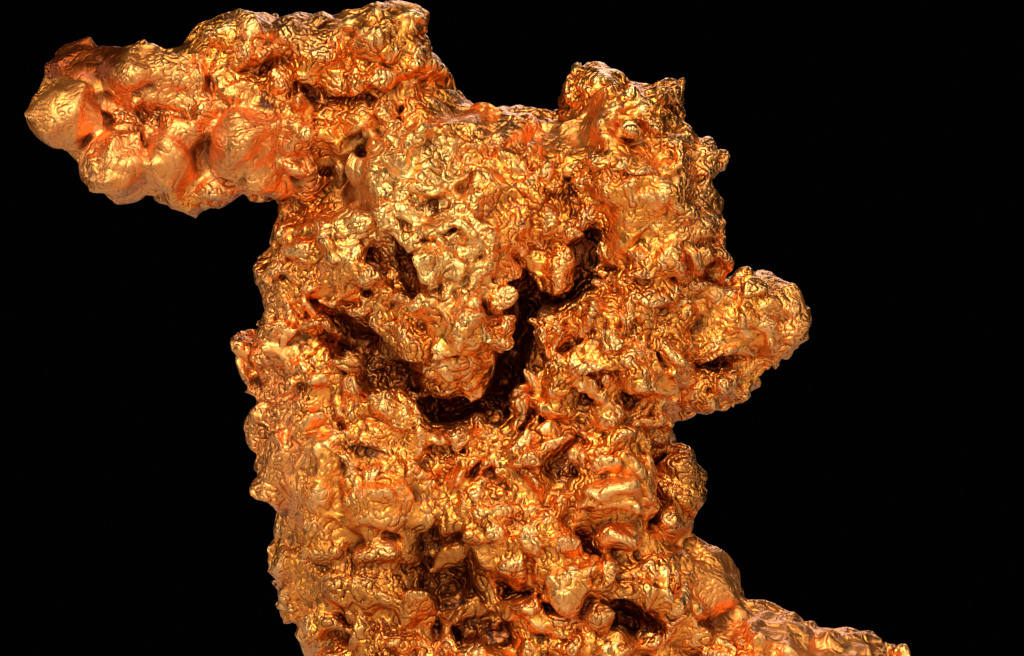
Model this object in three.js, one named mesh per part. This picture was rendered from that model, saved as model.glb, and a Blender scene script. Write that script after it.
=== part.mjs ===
// A large natural gold nugget, one solid piece standing on a flattened patch.
// Millimetres, +Z up, +X along the longest side, the featured face looks along -Y.
// The origin is the middle of the outline seen from above, on the resting plane.
//
// The shape is a signed distance field: broad masses melted together, knobs on
// the outline, hollows pressed in and lobes swelling out of the face, with seeded
// lobes over the sides and the back.  The field becomes a closed faceted skin.
import * as THREE from 'three';

// Overall layout
const FIELD_LOW = { x: -140.4, y: -56.4, z: -1.2 };
const FIELD_HIGH = { x: 135.6, y: 56.4, z: 230 };
const FIELD_STEP = 2.4;
const FACE_LIMIT = 9800;
const ORIGIN_SHIFT = { x: 2.8, y: 2.7, z: 0 };

// Field values: far outside, and how clearly a sample is outside or inside after mending
const FAR_OUTSIDE = 1000;
const OPENED = FIELD_STEP / 4;
const FILLED = -FIELD_STEP / 20;

// How far neighbouring shapes melt into one another
const MASS_BLEND = 7;
const KNOB_BLEND = 3;
const HOLLOW_BLEND = 4;
const LOBE_BLEND = 1.3;
const LOBE_RISE = 1.5;

// Thinning: the face side keeps this many times more detail than the others, and
// a fold must leave each triangle its side and some area
const FACE_CARE = 3;
const LEAST_DOUBLE_AREA = 0.2;
const LEAST_AGREEMENT = 0.3;
const STEADY_SHARE = 1e-3;
const GROUND_CLEARANCE = 0.2;

// Hollows and lobes scattered where the face lists stop, by a seeded number source
const SEED = 20417;
const SOURCE_TIMES = 1664525;
const SOURCE_PLUS = 1013904223;
const SCATTER_SPACING = 0.62;
const SCATTER_REACH = 3;
const SCATTER_SIZE = { least: 0.75, spread: 0.35 };
const LOBE_SINK = { least: 0.5, spread: 0.25, edge: 0.3 };
const LOBE_SIZES = [
  { radius: 10, tries: 500 },
  { radius: 7, tries: 900 },
  { radius: 5, tries: 1500 },
  { radius: 3.8, tries: 2400 },
];
const HOLLOW_SINK = { least: -0.55, spread: 0.25, edge: -0.2 };
const HOLLOW_SIZES = [
  { radius: 6.5, tries: 70 },
  { radius: 4.5, tries: 140 },
];

// Look of the metal
const GOLD_COLOUR = 0xd9872c;
const GOLD_ROUGHNESS = 0.28;
const GOLD_METALNESS = 1;

// Masses: middle x, y, z, half width, half depth, half height, lean in degrees
const MASSES = [
  // trunk
  [-4, 2, 161, 41, 31, 30, -6],
  [-5, 4, 122, 50, 31, 38, 0],
  [-44, 4, 129, 22, 24, 37, -7],
  [-49, 4, 153, 11, 18, 13, 0],
  [-34, 3, 95, 31, 29, 30, 0],
  [-31, 3, 58, 29.5, 29, 25, 0],
  [2, 3, 70, 44, 32, 40, 0],
  [27, 1, 50, 30, 32, 34, 0],
  [-5, 0, 22, 48, 35, 30, 0],
  [31, 1, 102, 17, 25, 20, 0],
  // chest that hangs over the cave
  [-23, -15, 166, 13, 20, 20, -12],
  [-12, -19, 148, 17, 22, 19, -10],
  [-9, -20, 130, 12.5, 21, 14, -4],
  [-40, -9, 148, 13, 17, 13, -20],
  // swellings beside and below the cave
  [34, -13, 122, 17, 19, 19, 0],
  [-38, -8, 82, 21, 21, 19, 0],
  [32, -14, 83, 12, 18, 11, 0],
  [10, -12, 92, 12, 17, 7, -15],
  [21, -13, 60, 20, 19, 9.5, -40],
  // right shoulder and its peaks
  [39, -8, 168, 18.5, 23, 24.5, 8],
  [29.5, 3, 186, 9.5, 12, 12, 20],
  [46, 1, 188.5, 6, 10, 8.5, 0],
  [45, -8, 152, 16, 22, 17, 0],
  [12, 6, 164, 26, 20, 16, 0],
  // right arm
  [68, 0, 129, 18, 17, 12, 0],
  [80, 0, 131, 5.5, 10, 9, 0],
  [61, -1, 113, 11, 12, 8.5, 22],
  [47, 0, 124, 16, 24, 21, 0],
  // crown knob and the saddle beside it
  [-32, 1, 206, 12.5, 16, 15, 0],
  [-27, 2, 193, 13, 18, 13, -12],
  [-14, 6, 171, 15, 20, 15, -8],
  [-42, 2, 186, 11, 17, 15, 0],
  // left arm
  [-71, 2, 203, 14, 16, 13, 0],
  [-54, 3, 204, 15, 17, 12, 0],
  [-63, -2, 181, 17, 17, 16, 0],
  [-78, -1, 173, 9, 12, 9, 0],
  [-96, 1, 197, 16, 14, 10.5, 0],
  [-120, -3, 187, 10, 11, 9, 0],
  [-117, 2, 201, 9, 9, 5.5, 0],
  [-104, -4, 175, 10, 12, 10.5, 0],
  [-91, -3, 174.5, 9.5, 11, 10, 0],
  [-88, -1, 187, 24, 13, 9, 3],
  // foot
  [42, 2, 46, 19, 27, 24, 0],
  [71, 2, 28, 29, 26, 22, -16],
  [56, 2, 54, 12, 20, 14, -35],
  [47, 4, 84, 7, 11, 11, 0],
  [97, 2, 22, 24, 22, 19, -14],
  [112, 2, 13, 12, 18, 17, 0],
  [72, 2, 10, 34, 24, 16, 0],
  // swellings on the back
  [-22, 22, 136, 22, 17, 24, 20],
  [17, 20, 108, 20, 18, 25, -15],
  [-26, 22, 70, 20, 18, 20, 0],
  [20, 19, 52, 24, 19, 18, 10],
  [24, 12, 160, 18, 17, 20, 0],
  [-62, 10, 194, 16, 13, 12, 10],
  [82, 12, 20, 18, 15, 14, -15],
];

// Knobs on the outline, in the same order
const KNOBS = [
  // upright knob on the right side above the foot
  [52.5, -8, 89, 4.2, 6.5, 4, 0],
  [53.5, -7, 83.5, 3.2, 6, 4.5, 0],
  [53, -8, 79, 5, 7, 4, 0],
  [56.8, -6, 78, 2.3, 4, 2.3, 0],
  [50, -8, 73.5, 5, 8, 4.5, 0],
  // bumps along the left edge
  [-62, 6, 152, 2.4, 5, 3, 0],
  [-63.5, 5, 143, 3, 7, 3, 0],
  [-70, 4, 121, 3.4, 6.5, 3.2, 0],
  [-70.5, 2, 115.5, 3, 6.5, 3.2, 0],
  [-63.5, 2, 101, 5, 8, 6, 0],
  [-62, 0, 89, 5, 8, 6, 0],
  [-58.5, 2, 61.5, 5.2, 8, 5.5, 0],
  [-56, 2, 51.5, 5, 8, 6, 0],
  // bumps along the right edge
  [61.5, -2, 149, 3.8, 7, 6.5, 0],
  [59.5, -3, 161, 4.2, 7, 5, 0],
  [57, -2, 173.5, 4.5, 7, 5, 0],
  [53.6, -2, 181.5, 2.6, 6, 3.6, 0],
  [71.5, 2, 140, 3.8, 6, 3.2, 0],
  [81.5, 1, 135.5, 4.6, 7, 5.5, 0],
  [31, 0, 193.5, 5, 8, 4.6, 0],
  [41.5, -1, 193, 3.6, 7, 3.8, 0],
  [48.5, 0, 192.5, 3.8, 7, 4, 0],
  [-83, 2, 205, 4, 8, 5, 30],
  [-107, 2, 202, 6, 8, 4, 0],
  // bumps along the top and under the left arm
  [-50, 3, 212.5, 4, 8, 3.5, 0],
  [-24.3, -4, 214, 4.2, 6, 4.4, 0],
  [-19.5, 2, 201, 4, 8, 4, 0],
  [-3, 2, 187, 5, 8, 3.6, 0],
  [9, 3, 182, 6, 8, 4, 0],
  [-88, -1, 168.5, 5, 7, 5, 0],
  [-77, -2, 167, 6, 8, 4.4, 0],
  [-51, 0, 169, 6, 9, 6, 0],
];

// Hollows in the face: x, z, half width, half height, depth, lean in degrees
const HOLLOWS = [
  // deep cleft down the middle and the cave at its foot
  [8.5, 129, 5.4, 14, 19, -4],
  [3.5, 113, 6.4, 11, 18, -20],
  [12, 139, 8, 4.5, 12, 0],
  [-12, 105, 13, 4.6, 14, 0],
  // slot and valley to the left of the cleft
  [-24, 145, 3.2, 11, 11, 8],
  [-37, 123, 17, 7, 9, -38],
  [-27, 114, 10, 6, 11, -18],
  [-33, 147, 2.2, 3, 4, 10],
  // valley under the right shoulder
  [24, 147, 6.5, 12, 3.5, -34],
  [20, 138.5, 8, 2.4, 8, 8],
  [49, 138.5, 8, 1.8, 6, -10],
  [56, 128, 2.6, 2, 3.5, 0],
  [41, 180, 7, 5.2, 3.5, -10],
  [66, 118, 12, 1.8, 5, -3],
  [39, 108, 3.2, 2.8, 4, 0],
  [25, 109, 3, 2, 3.5, -20],
  // left arm
  [-97, 187.5, 15, 2.2, 2.6, 4],
  [-77, 171, 7.5, 7, 4, -25],
  [-116, 203, 6, 2.2, 3, -5],
  [-57, 172, 4, 2, 3, -30],
  // creases under the crown
  [-42, 192, 13, 1.6, 3, -8],
  [-64, 201, 9, 1.8, 2.2, 0],
  [-28, 194.5, 8, 1.8, 3, 5],
  [-18, 161.5, 4, 1.6, 2.5, -15],
  // lower left
  [-45, 101, 5, 3.4, 3, 0],
  [-35, 65, 13, 1.8, 3.5, 12],
  [-14, 56, 11, 20, 7.5, 24],
  [0, 43, 6, 5, 4, 0],
  // lower right
  [19, 90, 5, 3, 3.5, 0],
  [27, 67, 6, 2.2, 6, -48],
  [46.5, 86, 2.6, 5.5, 9, 0],
  [39, 47, 10, 5.5, 9, -12],
  [11, 50, 17, 3.4, 7, -42],
  [64, 45.5, 4, 2, 3, -20],
];

// Lobes on the face: x, z, half width, half height, rise, lean in degrees
const LOBES = [
  // left arm
  [-121, 187, 9, 8, 2.5, 0],
  [-117, 193, 5, 3, 1.5, 0],
  [-98, 200, 12, 6.5, 3, 0],
  [-105, 199, 6, 5, 1.5, 0],
  [-90, 197, 6, 6, 2, 0],
  [-105, 174.5, 9.5, 10, 4, 0],
  [-92, 174, 7.5, 9, 4, 0],
  [-88, 181, 6, 4, 2, -20],
  [-84, 183, 3, 3, 2.5, 0],
  [-83, 190, 4, 4, 1.5, 0],
  [-71, 180, 8, 10, 4, -15],
  [-66, 172, 6, 6, 3, 0],
  [-56, 180, 5, 6, 3, 0],
  [-57, 173, 5, 2.2, 2, -30],
  [-70, 193, 5, 5, 2.5, 0],
  [-83, 198, 2.5, 3, 2, 0],
  [-83, 203.5, 2.5, 2.5, 1.5, 0],
  [-68, 211, 4, 3.5, 2.5, 0],
  [-75, 210, 4, 4, 1.5, 0],
  [-57, 209, 5, 4.5, 2, 0],
  [-63, 205, 5, 2, 1.5, 0],
  [-60, 197, 4, 3, 2, 0],
  [-52, 198, 4, 3, 1.5, 0],
  [-56, 190, 6, 2, 1.5, -10],
  [-48, 205, 4, 5, 1.5, 10],
  // crown
  [-24, 214, 4.5, 4.5, 3, 0],
  [-38, 213, 5, 4, 2, 0],
  [-32, 215, 4, 3, 1.5, 0],
  [-34, 207, 5.5, 5, 3, 0],
  [-36, 198, 4.5, 4.5, 3, 0],
  [-30, 198, 3.5, 4, 2.5, 0],
  [-24, 202, 4, 4.5, 2.5, 0],
  [-19, 199, 3.5, 3.5, 2, 0],
  [-43, 209, 4, 5, 1.5, -15],
  [-45, 197, 3, 4, 2, 0],
  [-3, 188.5, 4.5, 2.8, 2, 0],
  [-15, 189, 3, 4, 1.5, 20],
  // upper trunk
  [-44, 172, 3, 11, 2.5, 3],
  [-38, 184, 5, 3, 2, -20],
  [-33.5, 183.5, 3.2, 6, 2, 0],
  [-29, 187, 4, 3.5, 2, 0],
  [-36, 173, 5, 4, 2, 10],
  [-34, 168, 3, 5, 1.5, 0],
  [-27, 172, 3, 3, 2, 0],
  [-27, 157, 9, 2.6, 3, -43],
  [-22, 152, 3, 4, 2.5, 0],
  [-16, 155.5, 4.5, 2.6, 3, -5],
  [-18, 165, 4, 3, 2, -15],
  [-10, 170, 3, 3, 2, 0],
  [-5, 177, 3, 3, 1.5, 0],
  [3, 176, 3, 2.5, 1.5, 0],
  [2, 181, 3, 3, 1.5, 0],
  [-12, 178, 5, 2, 1.5, -10],
  [-20, 179, 5, 2, 1.5, 10],
  [-5, 161, 5, 4.5, 2.5, 0],
  [-3, 168, 4, 2.5, 1.5, 0],
  [-9, 153, 3, 3, 2, 0],
  [-2, 152, 3, 3, 2, 0],
  [6, 150, 3.5, 2.5, 2, 0],
  [6.5, 157, 3, 3, 1.5, 0],
  [15, 158, 4, 3, 1.5, 0],
  [-38, 156, 6, 5, 3, 0],
  [-46, 153, 4, 4, 2, 0],
  [-35, 143, 5, 3, 2.5, -20],
  [-30, 138, 6, 6, 3, 0],
  [-37, 134, 3.5, 3, 2, 0],
  [-44, 136, 4, 4, 2, 0],
  [-50, 140, 4, 5, 2, 0],
  [-53, 149, 6, 3.5, 2, 0],
  [-57, 155, 4, 4, 1.5, 0],
  [-58, 145, 4, 4, 1.5, 0],
  [-17, 145, 4, 6.5, 3.5, 0],
  [-11.5, 147, 2.6, 5.5, 2.5, 25],
  [-18, 134, 4.5, 5, 3, 0],
  [-5, 144, 4, 2.5, 1.5, 0],
  [-3, 147, 2, 2, 1.5, 0],
  [4, 144, 3, 4, 2, 0],
  [10, 146, 4, 4, 2, 0],
  // masses hanging over the cave
  [-22, 124.5, 7, 5.5, 5, -10],
  [-6, 127, 5.5, 6.5, 5, 0],
  [2, 127.5, 3.2, 6, 4.5, 0],
  [0, 138, 5, 3.5, 3, -10],
  [-10, 117, 6, 4, 4, 5],
  [-14, 122, 3, 3, 2, 0],
  [-17, 115, 3, 3, 2, 0],
  [-7, 135, 4, 4, 2.5, 0],
  // left flank
  [-58, 127, 7, 3, 2.5, -8],
  [-50, 127, 7, 2.5, 2, -12],
  [-55, 123, 8, 2.5, 2, 0],
  [-40, 118, 4, 3.5, 3, -30],
  [-66, 118, 4, 4, 2, 0],
  [-66, 111, 4, 4, 2, 0],
  [-55, 115, 5, 5, 2, 0],
  [-47, 113, 5, 4, 2, 0],
  [-38, 110, 4, 3, 2, -30],
  [-29, 106, 3, 4, 2, 0],
  [-26, 103, 3, 3.5, 2, 0],
  [-21.5, 101, 1.8, 5, 2.5, 15],
  [-12, 97.5, 8, 2, 3, 4],
  [-9, 96, 4, 3, 1.5, 0],
  [-47, 92, 6, 4, 1.5, -10],
  [-38, 90, 6, 3, 2, -10],
  [-58, 95, 7, 8, 1.5, 0],
  [-60, 84, 5, 6, 1.5, 0],
  // shell shaped swelling low on the left
  [-31, 82, 8, 5.5, 4, -8],
  [-30, 76, 9, 5, 4, 5],
  [-33, 71, 5, 4, 2.5, 0],
  [-30, 65.5, 10, 3, 3.5, 6],
  [-24, 70, 4, 4, 2.5, 40],
  [-20, 76, 4, 3, 2, 20],
  [-48, 71, 6, 5, 2, 0],
  [-47, 65, 6, 3, 2.5, -5],
  [-44, 57, 5, 4, 2, 0],
  [-34, 57, 5, 4, 2, -10],
  [-57, 62, 5, 5, 2, 0],
  [-57, 53, 4, 4, 1.5, 0],
  [-47, 46, 7, 5, 2.5, -20],
  [-22, 50, 6.5, 6, 3, 0],
  [-30, 53, 4, 3, 1.5, 0],
  [-38, 46, 5, 5, 2, 0],
  [-35, 40, 5, 4, 2, 0],
  [-23, 39, 5, 3.5, 2, 0],
  [-9, 48, 7, 2.4, 2.5, 38],
  [-14, 41, 4, 3, 2, 30],
  // below the cave
  [-9, 90.5, 7, 3.5, 2.5, 0],
  [-10, 85, 4, 4, 2.5, 0],
  [-15, 90, 3, 3, 1.5, 0],
  [-22, 88, 4, 3, 2, -30],
  [-18, 82, 3, 3, 1.5, 0],
  [-3, 83, 4, 4, 2, 0],
  [3, 88, 3, 4, 2, 0],
  [0, 77, 5, 3, 2, 0],
  [1, 71, 2.6, 2.6, 2.5, 0],
  [-5, 69, 3, 3, 1.5, 0],
  [3, 63, 4, 3.5, 2.5, 0],
  [6, 67, 3, 3, 1.5, 0],
  [-12, 65, 4, 3, 1.5, 20],
  // right shoulder
  [45, 191, 6.5, 5.5, 2, 0],
  [40, 189, 3.5, 4, 2, 0],
  [31, 190, 4, 7, 1, -25],
  [31.5, 184, 1.3, 5, 1.5, -5],
  [34, 185, 1.3, 5, 1.5, -8],
  [38, 181, 2, 2, 1.5, 0],
  [43, 183, 1.8, 1.8, 1.5, 0],
  [50, 180, 4, 4, 2, 0],
  [54, 181, 2.5, 4.5, 2.5, 0],
  [57.5, 173, 4.2, 5.5, 3, -5],
  [51, 173, 3.5, 4, 2, 0],
  [39.5, 172.8, 6.2, 2.2, 3, -22],
  [30, 173, 4, 3, 2, 0],
  [42, 164, 8.5, 6.5, 4, -5],
  [33, 166, 4, 4, 2, 0],
  [58, 163, 5, 5, 3, 0],
  [52, 160, 4, 4, 2, 0],
  [57, 155, 5, 4, 2.5, 0],
  [61, 157, 3.5, 4, 2, 0],
  [62.5, 150, 2.2, 4.5, 2, 0],
  [55, 148, 4, 4, 2, 0],
  [48, 147, 5, 4.5, 2.5, 0],
  [42, 147, 4, 4, 2, 0],
  [46, 141, 5, 2, 2, -5],
  [55, 139, 5, 2.5, 2, -10],
  [60.5, 142, 3.5, 4, 2, 0],
  [19, 178, 5, 3, 1.5, 20],
  [22, 172, 4, 4, 1.5, 0],
  [15, 171, 4, 4, 2, 0],
  [11, 177, 2.5, 4, 1.5, 0],
  [17, 167, 5, 3, 1.5, 0],
  [26, 168, 3, 3, 1.5, 0],
  [27, 160, 3, 3, 2, 0],
  [25, 157.5, 2.5, 2.5, 1.5, 0],
  [20, 154, 4, 4, 1.5, 0],
  [17, 145, 4.5, 6, 4, 8],
  [32, 148, 4, 3, 1.5, 0],
  // right arm
  [63, 135, 3.8, 3.8, 2.5, 0],
  [72, 136, 5, 5, 2, 0],
  [70, 128, 4, 4, 1.5, 0],
  [83, 131, 5.5, 8, 2, 0],
  [76, 128, 5, 5, 1.5, 0],
  [60, 124, 5, 4, 1.5, 0],
  [74, 119, 5, 3, 1.5, 20],
  [62, 121.5, 7, 1.8, 2, 3],
  [63, 112, 8, 3, 2, 10],
  [67, 108, 5, 3.5, 2, 20],
  [58, 107, 5, 3, 1.5, 0],
  // between the cleft and the right arm
  [41, 136, 6.5, 4.5, 4, 0],
  [36.5, 139.5, 2.2, 2.2, 2.5, 0],
  [38, 131, 5, 2, 1.5, 0],
  [27, 131.5, 4.5, 3.5, 2.5, 0],
  [50, 134, 4, 3, 2, 0],
  [14, 127, 2.6, 7, 2.5, 0],
  [20, 126, 5, 6, 2, 0],
  [20, 118, 6, 5, 2.5, -10],
  [17, 111, 4.5, 4, 3, 0],
  [27, 117, 5, 3, 2, 0],
  [27, 112, 4, 3, 2, 0],
  [33, 124, 4, 3, 2, 10],
  [48, 121, 6.5, 2.4, 2.5, -40],
  [39, 119, 5, 2, 2, 25],
  [40, 115, 3.8, 4, 3, 0],
  [51, 117, 4, 3.5, 2, 0],
  [47, 112, 3, 3, 1.5, 0],
  [18, 104, 6.5, 2.4, 3, -8],
  [18, 107.5, 4, 1.6, 2, -5],
  [15, 98.5, 3, 2.6, 2, 0],
  [21, 98.5, 4, 2.5, 2, 0],
  [32, 104, 4, 4, 2.5, 0],
  [30, 108.5, 3, 2, 1.5, 0],
  [27, 97.5, 6, 1.4, 2, 12],
  [35, 98, 3.5, 3.5, 2.5, 0],
  [44, 103, 5, 3, 1.5, 25],
  [46, 97, 4, 4, 1.5, 0],
  [41, 94, 4, 3, 1.5, 0],
  [7, 104, 3, 7, 2, 0],
  [7, 96, 3, 5, 2, -20],
  // lower right
  [9, 91, 4.5, 2.2, 3, 50],
  [16, 94.7, 5, 2, 3, 10],
  [24, 91, 4, 3, 3, -15],
  [31.5, 89, 4, 3.8, 3, 0],
  [31, 94, 5, 2.5, 2, 0],
  [38, 88, 3.5, 4, 2, 0],
  [32, 82.5, 8.5, 2.4, 3.5, 2],
  [33, 78.5, 9.5, 2.6, 3, 3],
  [42, 85, 3, 7.5, 2.5, 0],
  [42.5, 77, 3.2, 4, 3, 0],
  [34, 69, 7, 3, 3.5, 8],
  [40, 70, 3, 3, 1.5, 20],
  [10, 84, 4, 4, 2, 0],
  [8, 79, 4, 3, 2, 0],
  [13, 73, 6, 4.5, 3, -10],
  [12, 67, 5, 4, 2.5, 0],
  [18, 68, 4, 4, 2, 0],
  [18, 78, 4, 4, 2, 0],
  [22, 57, 6, 6.5, 3.5, -10],
  [26, 61, 4, 3, 2, -40],
  [31, 58, 4, 6, 3, -25],
  [43, 61, 7, 4, 3.5, 0],
  [43, 55, 7, 4.5, 4, -10],
  [46, 51.5, 5, 1.8, 3, 0],
  [50, 56, 3, 5, 2, 0],
  [8, 51, 6, 5, 3, 0],
  [14, 45, 6, 4, 2.5, 0],
  [28, 47, 3.2, 2.8, 3, 0],
  [32, 38, 6.5, 5, 3.5, 0],
  [22, 40, 5, 4, 2, 0],
  [10, 38, 5, 4, 2, 0],
  [55, 42, 5.5, 5, 3.5, 0],
  [62.5, 39, 3.2, 4.5, 2.5, 0],
  [74, 40, 4, 3, 2, 0],
  [82, 37, 4, 2.5, 2, -20],
  [43, 41, 4, 4, 1.5, 0],
  [50, 47, 3, 2, 2, 10],
];

const CORNERS = [
  [0, 0, 0], [1, 0, 0], [0, 1, 0], [1, 1, 0],
  [0, 0, 1], [1, 0, 1], [0, 1, 1], [1, 1, 1],
];
const CELL_EDGES = [
  [0, 1], [2, 3], [4, 5], [6, 7],
  [0, 2], [1, 3], [4, 6], [5, 7],
  [0, 4], [1, 5], [2, 6], [3, 7],
];

/** An ellipsoid leaning about the Y axis, with its signed distance. */
class Ellipsoid {
  constructor([x, y, z, halfWidth, halfDepth, halfHeight, lean]) {
    const angle = THREE.MathUtils.degToRad(lean);
    this.centre = [x, y, z];
    this.half = [halfWidth, halfDepth, halfHeight];
    this.cos = Math.cos(angle);
    this.sin = Math.sin(angle);
    this.reach = Math.max(halfWidth, halfDepth, halfHeight);
  }

  distance(x, y, z) {
    const dx = x - this.centre[0];
    const dz = z - this.centre[2];
    const local = [
      dx * this.cos + dz * this.sin,
      y - this.centre[1],
      dz * this.cos - dx * this.sin,
    ];
    const scaled = local.map((value, axis) => value / this.half[axis]);
    const steep = scaled.map((value, axis) => value / this.half[axis]);
    const length = Math.hypot(...scaled);
    return (length * (length - 1)) / (Math.hypot(...steep) + 1e-6);
  }
}

/** Melts two distances into one over the given width. */
function blendedMinimum(a, b, width) {
  const overlap = Math.max(width - Math.abs(a - b), 0) / width;
  return Math.min(a, b) - (overlap * overlap * width) / 4;
}

// Slopes are never taken as flatter than this while a point moves to the surface
const FLATTEST = 0.05;

/** A box of evenly spaced distances, negative inside the metal. */
class Field {
  constructor(low, high, step) {
    this.low = [low.x, low.y, low.z];
    this.step = step;
    this.size = [high.x, high.y, high.z].map(
      (value, axis) => Math.ceil((value - this.low[axis]) / step) + 1,
    );
    const count = this.size[0] * this.size[1] * this.size[2];
    this.values = new Float32Array(count).fill(FAR_OUTSIDE);
  }

  copy() {
    const twin = Object.create(Field.prototype);
    return Object.assign(twin, this, { values: this.values.slice() });
  }

  index(i, j, k) {
    return (i * this.size[1] + j) * this.size[2] + k;
  }

  position(i, j, k) {
    return [i, j, k].map((count, axis) => this.low[axis] + count * this.step);
  }

  /** Runs an update on every sample within reach of a shape. */
  near(shape, margin, update) {
    const first = shape.centre.map((value, axis) =>
      Math.max(Math.floor((value - shape.reach - margin - this.low[axis]) / this.step), 0));
    const last = shape.centre.map((value, axis) =>
      Math.min(Math.ceil((value + shape.reach + margin - this.low[axis]) / this.step),
        this.size[axis] - 1));
    for (let i = first[0]; i <= last[0]; i += 1) {
      for (let j = first[1]; j <= last[1]; j += 1) {
        for (let k = first[2]; k <= last[2]; k += 1) {
          const at = this.index(i, j, k);
          this.values[at] = update(this.values[at], shape.distance(...this.position(i, j, k)));
        }
      }
    }
  }

  unite(shape, blend, margin = 3 * this.step) {
    this.near(shape, margin, (held, added) => blendedMinimum(held, added, blend));
  }

  cut(shape, blend, margin = 3 * this.step) {
    this.near(shape, margin, (held, cut) => -blendedMinimum(-held, cut, blend));
  }

  /** Distance at any point, read between the samples. */
  at(point) {
    const place = point.map((value, axis) =>
      THREE.MathUtils.clamp((value - this.low[axis]) / this.step, 0, this.size[axis] - 1.001));
    const cell = place.map(Math.floor);
    const part = place.map((value, axis) => value - cell[axis]);
    let total = 0;
    for (const [a, b, c] of CORNERS) {
      const weight = (a ? part[0] : 1 - part[0]) * (b ? part[1] : 1 - part[1])
        * (c ? part[2] : 1 - part[2]);
      total += weight * this.values[this.index(cell[0] + a, cell[1] + b, cell[2] + c)];
    }
    return total;
  }

  gradient(point) {
    const span = this.step / 2;
    return point.map((value, axis) => {
      const ahead = [...point];
      const behind = [...point];
      ahead[axis] += span;
      behind[axis] -= span;
      return (this.at(ahead) - this.at(behind)) / (2 * span);
    });
  }

  /** Moves a point onto the surface, or returns null when it is too far away. */
  settle(point, steps = 5) {
    let place = point;
    for (let count = 0; count < steps; count += 1) {
      const slope = this.gradient(place);
      const steepness = slope[0] ** 2 + slope[1] ** 2 + slope[2] ** 2;
      const scale = this.at(place) / Math.max(steepness, FLATTEST);
      place = place.map((value, axis) => value - scale * slope[axis]);
    }
    return Math.abs(this.at(place)) < this.step / 4 ? place : null;
  }

  /** Depth of the face at x, z, or of the nearest metal when the ray misses. */
  faceDepth(x, z) {
    const stride = this.step / 4;
    let best = { y: 0, distance: Infinity };
    for (let y = this.low[1]; y < this.low[1] + this.size[1] * this.step; y += stride) {
      const distance = this.at([x, y, z]);
      if (distance < 0) {
        return y;
      }
      if (distance < best.distance) {
        best = { y, distance };
      }
    }
    return best.y;
  }
}

/** Turns one face list row into an ellipsoid sitting on the surface of a field. */
function onFace(field, [x, z, halfWidth, halfHeight, rise, lean]) {
  const halfDepth = Math.max((halfWidth + halfHeight) / 2, rise);
  const y = field.faceDepth(x, z) - rise * LOBE_RISE + halfDepth;
  return new Ellipsoid([x, y, z, halfWidth, halfDepth, halfHeight, lean]);
}

/** Turns one hollow row into an ellipsoid pressed into the surface of a field. */
function intoFace(field, [x, z, halfWidth, halfHeight, depth, lean]) {
  return new Ellipsoid([x, field.faceDepth(x, z), z, halfWidth, depth, halfHeight, lean]);
}

/** A small repeatable source of numbers from 0 to 1. */
function numberSource(seed) {
  let state = seed;
  return () => {
    state = (Math.imul(state, SOURCE_TIMES) + SOURCE_PLUS) >>> 0;
    return state / 2 ** 32;
  };
}

/** Says whether a place lies too near one of the shapes. */
function crowded(place, radius, shapes) {
  return shapes.some((shape) => {
    const apart = Math.hypot(...shape.centre.map((value, axis) => value - place[axis]));
    return apart < SCATTER_SPACING * (shape.reach + radius);
  });
}

/** Ellipsoids of several sizes packed wherever the placed ones leave room. */
function scattered(field, next, sizes, sinks, placed) {
  const found = [];
  for (const { radius, tries } of sizes) {
    for (let count = 0; count < tries; count += 1) {
      const draw = Array.from({ length: 7 }, next);
      const start = draw.slice(0, 3).map((value, axis) =>
        field.low[axis] + value * (field.size[axis] - 1) * field.step);
      const reachable = Math.abs(field.at(start)) < SCATTER_REACH * radius;
      const place = reachable ? field.settle(start) : null;
      if (!place || crowded(place, radius, [...placed, ...found])) {
        continue;
      }
      const slope = field.gradient(place);
      const edge = 1 - Math.min(Math.abs(slope[1]), 1);
      const sink = sinks.least + sinks.spread * draw[6] + sinks.edge * edge;
      const middle = place.map((value, axis) => value - slope[axis] * radius * sink);
      const half = draw.slice(3, 6).map((value) =>
        radius * (SCATTER_SIZE.least + SCATTER_SIZE.spread * value));
      found.push(new Ellipsoid([...middle, ...half, 360 * draw[6]]));
    }
  }
  return found;
}

/** The whole nugget as a field, from the broad masses to the last lobe. */
function nuggetField() {
  const field = new Field(FIELD_LOW, FIELD_HIGH, FIELD_STEP);
  for (const row of MASSES) {
    field.unite(new Ellipsoid(row), MASS_BLEND, Infinity);
  }
  const knobs = KNOBS.map((row) => new Ellipsoid(row));
  knobs.forEach((knob) => field.unite(knob, KNOB_BLEND));
  const base = field.copy();
  const hollows = HOLLOWS.map((row) => intoFace(base, row));
  const lobes = LOBES.map((row) => onFace(base, row));
  const next = numberSource(SEED);
  const kept = [...knobs, ...hollows, ...lobes];
  hollows.push(...scattered(base, next, HOLLOW_SIZES, HOLLOW_SINK, kept));
  lobes.push(...scattered(base, next, LOBE_SIZES, LOBE_SINK, [...hollows, ...lobes]));
  hollows.forEach((hollow) => field.cut(hollow, HOLLOW_BLEND));
  lobes.forEach((lobe) => field.unite(lobe, LOBE_BLEND));
  return field;
}

/** Empties the bottom layer and the outer walls so the skin closes there. */
function openAround(field) {
  const [nx, ny, nz] = field.size;
  for (let i = 0; i < nx; i += 1) {
    for (let j = 0; j < ny; j += 1) {
      for (let k = 0; k < nz; k += 1) {
        const first = Math.min(i, j, k) === 0;
        const last = i === nx - 1 || j === ny - 1 || k === nz - 1;
        const at = field.index(i, j, k);
        if (first || last) {
          field.values[at] = Math.max(Math.abs(field.values[at]), OPENED);
        }
      }
    }
  }
}

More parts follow.
